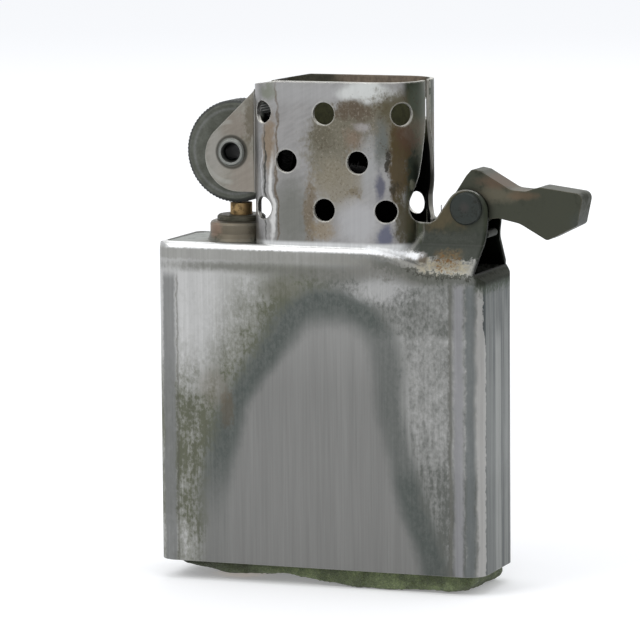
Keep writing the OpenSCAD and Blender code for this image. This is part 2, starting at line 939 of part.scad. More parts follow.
// The pad under a run of the wick; the wick turns beyond its left or right end
module pad_under(run, turn_side) {
    level = run_z0 + run * run_pitch;
    above = wick_r + packing_gap;
    color("ivory")
        pad(turn_side < 0 ? run_x0 : pack_x0, turn_side > 0 ? run_x1 : pack_x1,
            level - run_pitch + above, level - above, pack_half);
}

module packing_1() {
    top_run = run_z0 + (runs - 1) * run_pitch;
    color("ivory")
        difference() {
            pad(pack_x0, pack_x1 - sheet, top_run + wick_r + packing_gap, pack_z1,
                pack_half - sheet);
            translate([wick_x, 0, top_run])
                cylinder(r = wick_r + packing_gap, h = case_h);
            translate([wick_x, -wick_r - packing_gap, top_run])
                cube([wick_bend_r + 0.3, wick_d + 2 * packing_gap, case_h]);
        }
}

module packing_2() {
    pad_under(3, 1);
}

module packing_3() {
    pad_under(2, -1);
}

module packing_4() {
    pad_under(1, 1);
}

module packing_5() {
    color("ivory")
        pad(pack_x0, pack_x1, pack_z0, run_z0 - wick_r - packing_gap, pack_half);
}

module packing_6() {
    color("ivory")
        pad(left + sheet + packing_gap, axle_x - tube_r - 0.3, pack_z0,
            plate_skirt - packing_gap, pack_half);
}

// Felt, from x0 to x1, inside the case wall
module felt_block(x0, x1) {
    inset = sheet + felt_gap;
    intersection() {
        linear_extrude(felt_top)
            case_plan(inset);
        across(half_d)
            polygon(rounded([
                [left + inset, felt_drop * 0.6, 0],
                [left + inset + 2.6, 0, 4],
                [right - inset - 0.9, 0, 0.6],
                [right - inset, 0.9, 0.6],
                [right - inset, felt_top, 0],
                [left + inset, felt_top, 0]]));
        translate([x0, -half_d, -over])
            cube([x1 - x0, case_d, felt_top + 2 * over]);
    }
}

fold_x = left + fold_in;

module felt_pad() {
    color("olivedrab")
        difference() {
            felt_block(left, fold_x - 0.15);
            translate([axle_x, 0, -over])
                cylinder(r = screw_head_d / 2 + 0.25, h = head_top + seat + over);
            translate([axle_x, 0, -over])
                cylinder(r = screw_r + 0.15, h = felt_top + 2 * over);
        }
}

module felt_flap() {
    color("olivedrab")
        felt_block(fold_x + 0.15, right);
}

case_shell();
top_plate();
flint_tube();
wheel_rivet();
cam_rivet();
cam_spring();
spring_rivet();
flint_wheel();
cam_lever();
flint();
spring_tip();
flint_spring();
flint_screw();
wick();
packing_1();
packing_2();
packing_3();
packing_4();
packing_5();
packing_6();
felt_pad();
felt_flap();
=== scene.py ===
"""Dressed model of a windproof lighter's inside unit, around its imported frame."""

from __future__ import annotations

import json
import logging
import math
from dataclasses import dataclass, replace
from enum import Enum
from typing import Any, Callable

import bmesh
import bpy
from mathutils import Matrix, Vector, noise

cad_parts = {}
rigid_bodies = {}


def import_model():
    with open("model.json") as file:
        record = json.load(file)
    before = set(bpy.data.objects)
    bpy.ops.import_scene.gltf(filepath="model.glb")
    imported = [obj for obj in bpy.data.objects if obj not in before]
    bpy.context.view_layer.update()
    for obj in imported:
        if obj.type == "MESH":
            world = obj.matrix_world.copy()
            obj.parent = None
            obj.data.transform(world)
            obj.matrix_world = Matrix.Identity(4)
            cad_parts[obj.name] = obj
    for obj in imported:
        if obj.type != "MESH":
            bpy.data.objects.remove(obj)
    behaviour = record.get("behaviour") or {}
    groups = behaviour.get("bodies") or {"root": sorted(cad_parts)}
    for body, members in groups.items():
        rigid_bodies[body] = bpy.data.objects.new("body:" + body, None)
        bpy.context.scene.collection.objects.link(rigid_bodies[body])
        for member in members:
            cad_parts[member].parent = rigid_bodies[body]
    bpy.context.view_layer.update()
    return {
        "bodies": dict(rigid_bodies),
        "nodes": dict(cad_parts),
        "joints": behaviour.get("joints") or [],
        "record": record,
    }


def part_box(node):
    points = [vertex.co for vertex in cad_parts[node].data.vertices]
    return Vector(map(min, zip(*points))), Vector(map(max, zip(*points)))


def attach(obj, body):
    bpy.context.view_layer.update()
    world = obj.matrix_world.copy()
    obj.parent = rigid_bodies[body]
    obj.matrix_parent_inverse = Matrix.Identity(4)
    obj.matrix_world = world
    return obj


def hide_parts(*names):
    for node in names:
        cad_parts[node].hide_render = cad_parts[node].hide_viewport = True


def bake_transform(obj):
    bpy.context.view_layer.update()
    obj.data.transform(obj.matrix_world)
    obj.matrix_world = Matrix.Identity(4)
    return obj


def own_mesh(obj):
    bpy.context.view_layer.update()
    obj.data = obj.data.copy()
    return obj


MM = 0.001
LOG = logging.getLogger("lighter")

Rgb = tuple[int, int, int]
Span = tuple[float, float]
Point = tuple[float, float, float]
Ring = list[bmesh.types.BMVert]
Socket = bpy.types.NodeSocket
Inputs = bpy.types.NodeInputs
Outputs = bpy.types.NodeOutputs
# A number, vector or colour, or the socket that gives it.
Value = Socket | float | tuple[float, ...]


class Blend(Enum):
    """How one colour is laid over another."""

    COVER = "MIX"
    SHADE = "MULTIPLY"


def srgb(red: int, green: int, blue: int) -> tuple[float, float, float, float]:
    """The linear colour of a display colour.

    Args:
        red: Red, from 0 to 255.
        green: Green, likewise.
        blue: Blue, likewise.

    Returns:
        The linear colour, opaque.
    """
    parts = [c / 255 for c in (red, green, blue)]
    lin = [p / 12.92 if p <= 0.04045 else ((p + 0.055) / 1.055) ** 2.4 for p in parts]
    return lin[0], lin[1], lin[2], 1.0


class Sheet:
    """A node tree that is written from left to right."""

    grain_depth_mm: float = 0.05

    def __init__(self, tree: bpy.types.NodeTree) -> None:
        """Starts on an empty tree."""
        self.tree = tree
        self.tree.nodes.clear()

    def add(
        self, kind: str, inputs: dict[str | int, Value] | None = None, **settings: Any
    ) -> bpy.types.Node:
        """Adds a node.

        Args:
            kind: The node's type, without its ShaderNode prefix.
            inputs: Values or output sockets by input name or number.
            settings: Properties of the node.

        Returns:
            The node.
        """
        prefix = "" if kind.startswith("Node") else "ShaderNode"
        node = self.tree.nodes.new(prefix + kind)
        for name, setting in settings.items():
            setattr(node, name, setting)
        for name, value in (inputs or {}).items():
            if isinstance(value, Socket):
                self.link(value, node.inputs[name])
            else:
                node.inputs[name].default_value = value
        return node

    def link(self, value: Socket, given: Socket) -> None:
        """Feeds an output into an input."""
        self.tree.links.new(value, given)

    def math(self, operation: str, a: Value, b: Value = 0.0, clamp: bool = False) -> Socket:
        """The result of one of Blender's sums on two numbers."""
        node = self.add("Math", {0: a, 1: b}, operation=operation, use_clamp=clamp)
        return node.outputs[0]

    def times(self, a: Value, b: Value, clamp: bool = False) -> Socket:
        """One number times another."""
        return self.math("MULTIPLY", a, b, clamp)

    def plus(self, a: Value, b: Value, clamp: bool = False) -> Socket:
        """One number and another."""
        return self.math("ADD", a, b, clamp)

    def minus(self, a: Value, b: Value, clamp: bool = False) -> Socket:
        """One number less another."""
        return self.math("SUBTRACT", a, b, clamp)

    def most(self, a: Value, b: Value) -> Socket:
        """The greater of two numbers."""
        return self.math("MAXIMUM", a, b)

    def least(self, a: Value, b: Value) -> Socket:
        """The smaller of two numbers."""
        return self.math("MINIMUM", a, b)

    def size(self, a: Value) -> Socket:
        """A number without its sign."""
        return self.math("ABSOLUTE", a)

    def slant(self, a: Value, b: Value) -> Socket:
        """The long side of a right-angled triangle whose other sides are a and b."""
        squares = self.plus(self.math("POWER", a, 2.0), self.math("POWER", b, 2.0))
        return self.math("SQRT", squares)

    def vector(self, operation: str, a: Value, b: Value) -> Socket:
        """The result of one of Blender's sums on two vectors."""
        node = self.add("VectorMath", {0: a, 1: b}, operation=operation)
        return node.outputs["Value" if operation == "DOT_PRODUCT" else "Vector"]

    def ease(
        self, value: Value, low: Value, high: Value, to_low: float = 0.0, to_high: float = 1.0
    ) -> Socket:
        """A smooth step of a value from low to high, given back from to_low to to_high."""
        inputs = {0: value, 1: low, 2: high, 3: to_low, 4: to_high}
        return self.add("MapRange", inputs, interpolation_type="SMOOTHSTEP").outputs[0]

    def between(self, value: Value, low: float, high: float, soft: float) -> Socket:
        """A mask that keeps what lies between two values.

        Args:
            value: What is tested.
            low: The lower value.
            high: The upper value.
            soft: How far the mask fades, on either side of both.

        Returns:
            1 from low to high, and 0 outside.
        """
        rise = self.ease(value, low - soft, low + soft)
        fall = self.ease(value, high - soft, high + soft, 1.0, 0.0)
        return self.times(rise, fall)

    def mix(self, amount: Value, a: Value, b: Value, blend: Blend = Blend.COVER) -> Socket:
        """The colour b laid over a by an amount."""
        node = self.add("Mix", {0: amount, 6: a, 7: b}, data_type="RGBA", blend_type=blend.value)
        return node.outputs[2]

    def tones(self, amount: Value, a: Rgb, b: Rgb) -> Socket:
        """A colour between two display colours."""
        return self.mix(amount, srgb(*a), srgb(*b))

    def paint(self, amount: Value, colour: Value, shade: Rgb) -> Socket:
        """A display colour laid over a colour by an amount."""
        return self.mix(amount, colour, srgb(*shade))

    def noise(
        self, position: Value, scale: float, detail: float = 3.0, rough: float = 0.55
    ) -> Socket:
        """The value of a noise over a position."""
        inputs = {"Vector": position, "Scale": scale, "Detail": detail, "Roughness": rough}
        return self.add("TexNoise", inputs).outputs["Fac"]

    def group(self, tree: bpy.types.NodeTree, inputs: dict[str | int, Value]) -> Outputs:
        """The outputs of a node that holds a group."""
        return self.add("Group", inputs, node_tree=tree).outputs

    def away(self, axes: Outputs, x: float, z: float) -> Socket:
        """The distance from the line along Y through x and z."""
        return self.slant(self.minus(axes["X"], x), self.minus(axes["Z"], z))

    def metal(
        self,
        colour: Value,
        metallic: Value,
        rough: Value,
        height: Value,
        normal: Value,
        bump: float,
    ) -> None:
        """Ends a material as worn metal.

        Args:
            colour: Base colour.
            metallic: How metallic the surface is.
            rough: Its roughness.
            height: Height of its grain.
            normal: The rounded normal under that grain.
            bump: Strength of the grain.
        """
        depth = self.grain_depth_mm * MM
        inputs = {"Strength": bump, "Distance": depth, "Height": height, "Normal": normal}
        bent = self.add("Bump", inputs).outputs["Normal"]
        inputs = {"Base Color": colour, "Metallic": metallic, "Roughness": rough, "Normal": bent}
        shader = self.add("BsdfPrincipled", inputs)
        self.add("OutputMaterial", {"Surface": shader.outputs[0]})


def new_material(name: str) -> tuple[bpy.types.Material, Sheet]:
    """Makes a material.

    Args:
        name: Its name.

    Returns:
        The material and the sheet that its nodes are written on.
    """
    material = bpy.data.materials.new(name)
    material.use_nodes = True
    return material, Sheet(material.node_tree)


class Effects:
    """The shader groups that several finishes share, and the axle that some are laid round."""

    def __init__(self, axle: Span) -> None:
        """Builds each group once.

        Args:
            axle: The flint wheel's axle, along X and up, in mm.
        """
        self.axle = axle
        self.place = self._place()
        self.grain = self._grain()
        self.patch = self._patch()
        self.wear = self._wear()
        self.fibre = self._fibre()

    @staticmethod
    def _start(
        name: str, inputs: dict[str, tuple[str, Value]], outputs: dict[str, str]
    ) -> tuple[Sheet, Outputs, Inputs]:
        """Starts a group.

        Args:
            name: The group's name.
            inputs: Socket kind and starting value by name.
            outputs: Socket kind by name.

        Returns:
            The sheet to write on, the group's inputs and its output node's sockets.
        """
        tree = bpy.data.node_groups.new(name, "ShaderNodeTree")
        face = tree.interface
        for label, (kind, value) in inputs.items():
            socket = face.new_socket(label, in_out="INPUT", socket_type="NodeSocket" + kind)
            socket.default_value = value
        for label, kind in outputs.items():
            face.new_socket(label, in_out="OUTPUT", socket_type="NodeSocket" + kind)
        sheet = Sheet(tree)
        given = sheet.add("NodeGroupInput").outputs
        return sheet, given, sheet.add("NodeGroupOutput").inputs

    def _place(self) -> bpy.types.NodeTree:
        """Where a point lies on the object, in millimetres.

        Returns:
            The group.
        """
        sheet, _, out = self._start("Place", {}, {"Position": "Vector"})
        place = sheet.add("TexCoord").outputs["Object"]
        scaled = sheet.vector("MULTIPLY", place, (1 / MM, 1 / MM, 1 / MM))
        sheet.link(scaled, out["Position"])
        return sheet.tree

    def _grain(self) -> bpy.types.NodeTree:
        """Brush lines, drawn out along one direction.

        Returns:
            The group.
        """
        inputs = {
            "Position": ("Vector", (0.0, 0.0, 0.0)),
            "Density": ("Vector", (4.0, 4.0, 0.12)),
            "Contrast": ("Float", 0.5),
        }
        sheet, given, out = self._start("Grain", inputs, {"Shade": "Float", "Height": "Float"})
        lines = sheet.vector("MULTIPLY", given["Position"], given["Density"])
        fine = sheet.noise(lines, 1.0, 4.0, 0.6)
        broad = sheet.noise(lines, 0.22, 2.0)
        both = sheet.plus(sheet.times(fine, 0.65), sheet.times(broad, 0.35))
        shade = sheet.times(sheet.minus(both, 0.5), given["Contrast"])
        sheet.link(sheet.plus(shade, 1.0), out["Shade"])
        sheet.link(fine, out["Height"])
        return sheet.tree

    def _patch(self) -> bpy.types.NodeTree:
        """A soft oval stain, painted highlight or painted reflection with a ragged edge.

        Returns:
            The group.
        """
        inputs = {
            "Position": ("Vector", (0.0, 0.0, 0.0)),
            "Centre": ("Vector", (0.0, 0.0, 0.0)),
            "Reach": ("Vector", (1.0, 1.0, 1.0)),
            "Rag": ("Float", 0.0),
            "Ragged": ("Float", 1.0),
            "Softness": ("Float", 0.4),
            "Amount": ("Float", 1.0),
        }
        sheet, given, out = self._start("Patch", inputs, {"Mask": "Float"})
        away = sheet.vector("SUBTRACT", given["Position"], given["Centre"])
        away = sheet.vector("DIVIDE", away, given["Reach"])
        reach = sheet.add("VectorMath", {0: away}, operation="LENGTH").outputs["Value"]
        reach = sheet.plus(reach, sheet.times(given["Rag"], given["Ragged"]))
        low = sheet.minus(1.0, given["Softness"])
        high = sheet.plus(1.0, given["Softness"])
        inside = sheet.ease(reach, low, high, 1.0, 0.0)
        sheet.link(sheet.times(inside, given["Amount"], clamp=True), out["Mask"])
        return sheet.tree

    def _wear(self) -> bpy.types.NodeTree:
        """Edges that handling has rubbed, and the rounded normal that goes with them.

        Returns:
            The group.
        """
        inputs = {
            "Position": ("Vector", (0.0, 0.0, 0.0)),
            "Radius": ("Float", 0.2 * MM),
            "Spread": ("Float", 0.06),
        }
        sheet, given, out = self._start("Wear", inputs, {"Mask": "Float", "Normal": "Vector"})
        bevel = sheet.add("Bevel", {"Radius": given["Radius"]}, samples=4).outputs["Normal"]
        flat = sheet.add("NewGeometry").outputs["Normal"]
        bend = sheet.minus(1.0, sheet.vector("DOT_PRODUCT", bevel, flat))
        breakup = sheet.noise(given["Position"], 1.7, 4.0, 0.65)
        level = sheet.math("DIVIDE", bend, given["Spread"])
        mask = sheet.times(level, sheet.ease(breakup, 0.3, 0.6), clamp=True)
        sheet.link(mask, out["Mask"])
        sheet.link(bevel, out["Normal"])
        return sheet.tree

    def _fibre(self) -> bpy.types.NodeTree:
        """Tangled fibres of felt, wadding or cotton.

        Returns:
            The group.
        """
        inputs = {"Position": ("Vector", (0.0, 0.0, 0.0)), "Density": ("Float", 6.0)}
        sheet, given, out = self._start("Fibre", inputs, {"Shade": "Float", "Height": "Float"})
        swirl = {"Vector": given["Position"], "Scale": 1.4, "Detail": 2.0}
        bent = sheet.vector("ADD", given["Position"], sheet.add("TexNoise", swirl).outputs["Color"])
        scaled = sheet.add("VectorMath", {0: bent, "Scale": given["Density"]}, operation="SCALE")
        ridges = sheet.noise(scaled.outputs["Vector"], 1.0, 5.0, 0.7)
        crest = sheet.size(sheet.minus(ridges, 0.5))
        height = sheet.minus(1.0, sheet.times(crest, 5.0), clamp=True)
        sheet.link(sheet.ease(ridges, 0.3, 0.7, 0.5, 1.45), out["Shade"])
        sheet.link(height, out["Height"])
        return sheet.tree


@dataclass(frozen=True)
class Ground:
    """What the layers of a finish are written from.

    Attributes:
        sheet: The sheet to write on.
        effects: The shared groups.
        place: The place on the object, in mm.
        axes: That place's coordinates.
        cloud: A broad noise over the surface.
        speck: A fine noise.
        rag: Both, about 0, to make edges ragged.
    """

    sheet: Sheet
    effects: Effects
    place: Socket
    axes: Outputs
    cloud: Socket
    speck: Socket
    rag: Socket

    def ragged(self, amount: float) -> Socket:
        """An offset about 0 from the fine noise, to shift an edge by."""
        return self.sheet.times(self.sheet.minus(self.speck, 0.5), amount)


@dataclass(frozen=True)
class Patch:
    """One stain, painted highlight or painted reflection over both broad faces, with its sizes in
    mm.

    Attributes:
        x: Its middle, across.
        z: Its middle, up.
        wide: Its reach across, on either side of the middle.
        high: Its reach up and down.
        colour: Its colour.
        amount: How strongly it covers what is below it.
        soft: How far its edge fades, as a share of its reach.
        rag: How ragged its edge is.
        dirt: How dirty it leaves the metal.
    """

    x: float
    z: float
    wide: float
    high: float
    colour: Rgb
    amount: float = 1.0
    soft: float = 0.4
    rag: float = 0.8
    dirt: float = 0.0

    # How far a patch reaches along Y: through the whole unit.
    deep = 400.0


@dataclass(frozen=True)
class Strip:
    """One upright strip, with its sizes in mm.

    Attributes:
        low: Where it begins, across.
        high: Where it ends.
        soft: How far its sides fade.
        grey: Its colour.
        amount: How strongly it covers what is below it.
        top: The height where it fades out.
    """

    low: float
    high: float
    soft: float
    grey: Rgb
    amount: float
    top: float = 33.2

    def mask(self, sheet: Sheet, across: Value) -> Socket:
        """Where the strip lies, by the place across."""
        return sheet.between(across, self.low, self.high, self.soft)


def lay(
    ground: Ground, patches: tuple[Patch, ...], colour: Value, dirt: Value
) -> tuple[Value, Value]:
    """Lays stains, painted highlights and painted reflections over a colour.

    Args:
        ground: What the finish is written from.
        patches: The stains, highlights and reflections, from the lowest up.
        colour: The colour so far.
        dirt: How dirty the surface is so far.

    Returns:
        The stained colour and the dirt.
    """
    sheet = ground.sheet
    for patch in patches:
        inputs = {
            "Position": ground.place,
            "Centre": (patch.x, 0.0, patch.z),
            "Reach": (patch.wide, patch.deep, patch.high),
            "Rag": ground.rag,
            "Ragged": patch.rag,
            "Softness": patch.soft,
            "Amount": patch.amount,
        }
        mask = sheet.group(ground.effects.patch, inputs)["Mask"]
        colour = sheet.paint(mask, colour, patch.colour)
        if patch.dirt:
            dirt = sheet.most(dirt, sheet.times(mask, patch.dirt))
    return colour, dirt


@dataclass(frozen=True)
class Metal:
    """A plain worn metal finish. Where bore_mm isn't 0, it is painted dark as shade that close to
    the axle.
    """

    name: str
    colour: Rgb
    stain: Rgb
    edge: Rgb
    rough: float = 0.38
    stained: float = 0.5
    metallic: float = 0.9
    grain: Point = (3.0, 3.0, 0.4)
    contrast: float = 0.25
    mottle: float = 0.8
    bump: float = 0.15
    bevel_mm: float = 0.08
    edge_wear: float = 1.0
    patches: tuple[Patch, ...] = ()
    bore_mm: float = 0.0
    bore_fade: float = 0.35
    bore_shade: Rgb = (6, 9, 9)

    def build(self, effects: Effects) -> bpy.types.Material:
        """Lays stains, brush lines, rubbed edges and the bore's painted shade over the plain metal.

        Args:
            effects: The shared groups.

        Returns:
            The material.
        """
        material, sheet = new_material(self.name)
        place = sheet.group(effects.place, {})["Position"]
        axes = sheet.add("SeparateXYZ", {0: place}).outputs
        inputs = {"Position": place, "Density": self.grain, "Contrast": self.contrast}
        grain = sheet.group(effects.grain, inputs)
        wear = sheet.group(effects.wear, {"Position": place, "Radius": self.bevel_mm * MM})
        cloud = sheet.noise(place, self.mottle, 5.0, 0.65)
        speck = sheet.noise(place, self.mottle * 6, 3.0, 0.6)
        blot = sheet.plus(sheet.times(cloud, 0.7), sheet.times(speck, 0.3))
        dirt: Value = sheet.ease(blot, 0.62 - 0.3 * self.stained, 0.78 - 0.2 * self.stained)
        colour: Value = sheet.tones(dirt, self.colour, self.stain)
        rag = sheet.minus(blot, 0.5)
        ground = Ground(sheet, effects, place, axes, cloud, speck, rag)
        colour, dirt = lay(ground, self.patches, colour, dirt)
        colour = sheet.mix(1.0, colour, grain["Shade"], Blend.SHADE)
        rubbed = sheet.times(wear["Mask"], self.edge_wear)
        colour = sheet.paint(rubbed, colour, self.edge)
        metallic: Value = self.metallic
        # The bore is painted near black as shade.
        if self.bore_mm:
            away = sheet.away(axes, *effects.axle)
            inside = sheet.ease(away, self.bore_mm, self.bore_mm + self.bore_fade, 1.0, 0.0)
            colour = sheet.paint(inside, colour, self.bore_shade)
            dirt = sheet.most(dirt, inside)
            metallic = sheet.ease(inside, 0.0, 1.0, self.metallic, 1.0)
        rough = sheet.ease(dirt, 0.0, 1.0, self.rough, min(0.95, self.rough + 0.22))
        height = sheet.plus(grain["Height"], speck)
        sheet.metal(colour, metallic, rough, height, wear["Normal"], self.bump)
        return material


@dataclass(frozen=True)
class WheelSteel:
    """The flint wheel's hard steel: satin sides with a faint ring, dark sooty teeth, and near
    black, sooty and in painted shade, where it lies inside the chimney.
    """

    name: str = "wheel_steel"
    bevel_mm: float = 0.06
    ring: Span = (4.35, 4.6)
    teeth_from: Span = (5.0, 5.2)
    in_chimney: Span = (-7.3, -6.9)
    side_grey: Rgb = (88, 90, 83)
    dark_grey: Rgb = (77, 79, 71)
    tooth_grey: Rgb = (62, 64, 62)
    ring_grey: Rgb = (122, 123, 123)
    rubbed_grey: Rgb = (128, 129, 130)
    soot_and_shade: Rgb = (6, 7, 6)

    def build(self, effects: Effects) -> bpy.types.Material:
        """Shades the sides, the ring and the teeth, and paints what is inside the chimney near
        black, sooty and in shade.

        Args:
            effects: The shared groups.

        Returns:
            The material.
        """
        material, sheet = new_material(self.name)
        place = sheet.group(effects.place, {})["Position"]
        axes = sheet.add("SeparateXYZ", {0: place}).outputs
        wear = sheet.group(effects.wear, {"Position": place, "Radius": self.bevel_mm * MM})
        away = sheet.away(axes, *effects.axle)
        cloud = sheet.noise(place, 0.5, 4.0, 0.6)
        speck = sheet.noise(place, 5.0, 4.0, 0.65)
        side = sheet.ease(cloud, 0.38, 0.62)
        colour = sheet.tones(side, self.side_grey, self.dark_grey)
        ring = sheet.times(sheet.between(away, *self.ring, 0.15), 0.4)
        colour = sheet.paint(ring, colour, self.ring_grey)
        colour = sheet.paint(sheet.ease(away, *self.teeth_from), colour, self.tooth_grey)
        colour = sheet.mix(1.0, colour, sheet.ease(speck, 0.3, 0.7, 0.88, 1.12), Blend.SHADE)
        colour = sheet.paint(sheet.times(wear["Mask"], 0.35), colour, self.rubbed_grey)
        # What lies inside the chimney is painted near black: sooty, and painted shade.
        sooted_and_shaded = sheet.ease(axes["X"], *self.in_chimney)
        colour = sheet.paint(sooted_and_shaded, colour, self.soot_and_shade)
        rough = sheet.ease(cloud, 0.3, 0.7, 0.5, 0.68)
        duller = sheet.ease(axes["X"], *self.in_chimney, 1.0, 1.5)
        rough = sheet.times(rough, duller, clamp=True)
        metallic = sheet.ease(axes["X"], *self.in_chimney, 0.65, 1.0)
        sheet.metal(colour, metallic, rough, speck, wear["Normal"], 0.3)
        return material


@dataclass(frozen=True)
class Cloth:
    """A fibrous finish for felt, wadding or wick, darker along X with dirt and painted shadow, or
    charred above a height.
    """

    name: str
    colour: Rgb
    dark: Rgb
    density: float
    bump: float = 0.6
    sheen: float = 0.3
    gloss: float = 0.2
    rough: float = 0.95
    depth_mm: float = 0.15
    soiled_and_shaded: Span | None = None
    grime_and_shade: Rgb = (42, 46, 26)
    char_z: float | None = None
    char: Rgb = (8, 7, 6)

    def build(self, effects: Effects) -> bpy.types.Material:
        """Shades the fibres, then lays dirt with painted shadow, and char, over them.

        Args:
            effects: The shared groups.

        Returns:
            The material.
        """
        material, sheet = new_material(self.name)
        place = sheet.group(effects.place, {})["Position"]
        axes = sheet.add("SeparateXYZ", {0: place}).outputs
        fibre = sheet.group(effects.fibre, {"Position": place, "Density": self.density})
        cloud = sheet.noise(place, 0.5, 4.0)
        colour = sheet.tones(sheet.ease(cloud, 0.4, 0.62), self.colour, self.dark)
        colour = sheet.mix(1.0, colour, fibre["Shade"], Blend.SHADE)
        # Darker along X: dirt, and painted shadow.
        if self.soiled_and_shaded:
            across = sheet.plus(axes["X"], sheet.times(cloud, 4.0))
            grimy_and_shaded = sheet.ease(across, *self.soiled_and_shaded, 0.92, 0.0)
            colour = sheet.paint(grimy_and_shaded, colour, self.grime_and_shade)
        if self.char_z is not None:
            height = sheet.plus(axes["Z"], cloud)
            charred = sheet.ease(height, self.char_z - 1.6, self.char_z + 0.2)
            colour = sheet.paint(charred, colour, self.char)
        inputs = {"Strength": self.bump, "Distance": self.depth_mm * MM, "Height": fibre["Height"]}
        bump = sheet.add("Bump", inputs).outputs["Normal"]
        inputs = {"Base Color": colour, "Roughness": self.rough, "Normal": bump}
        inputs.update({"Sheen Weight": self.sheen, "Specular IOR Level": self.gloss})
        shader = sheet.add("BsdfPrincipled", inputs)
        sheet.add("OutputMaterial", {"Surface": shader.outputs[0]})
        return material


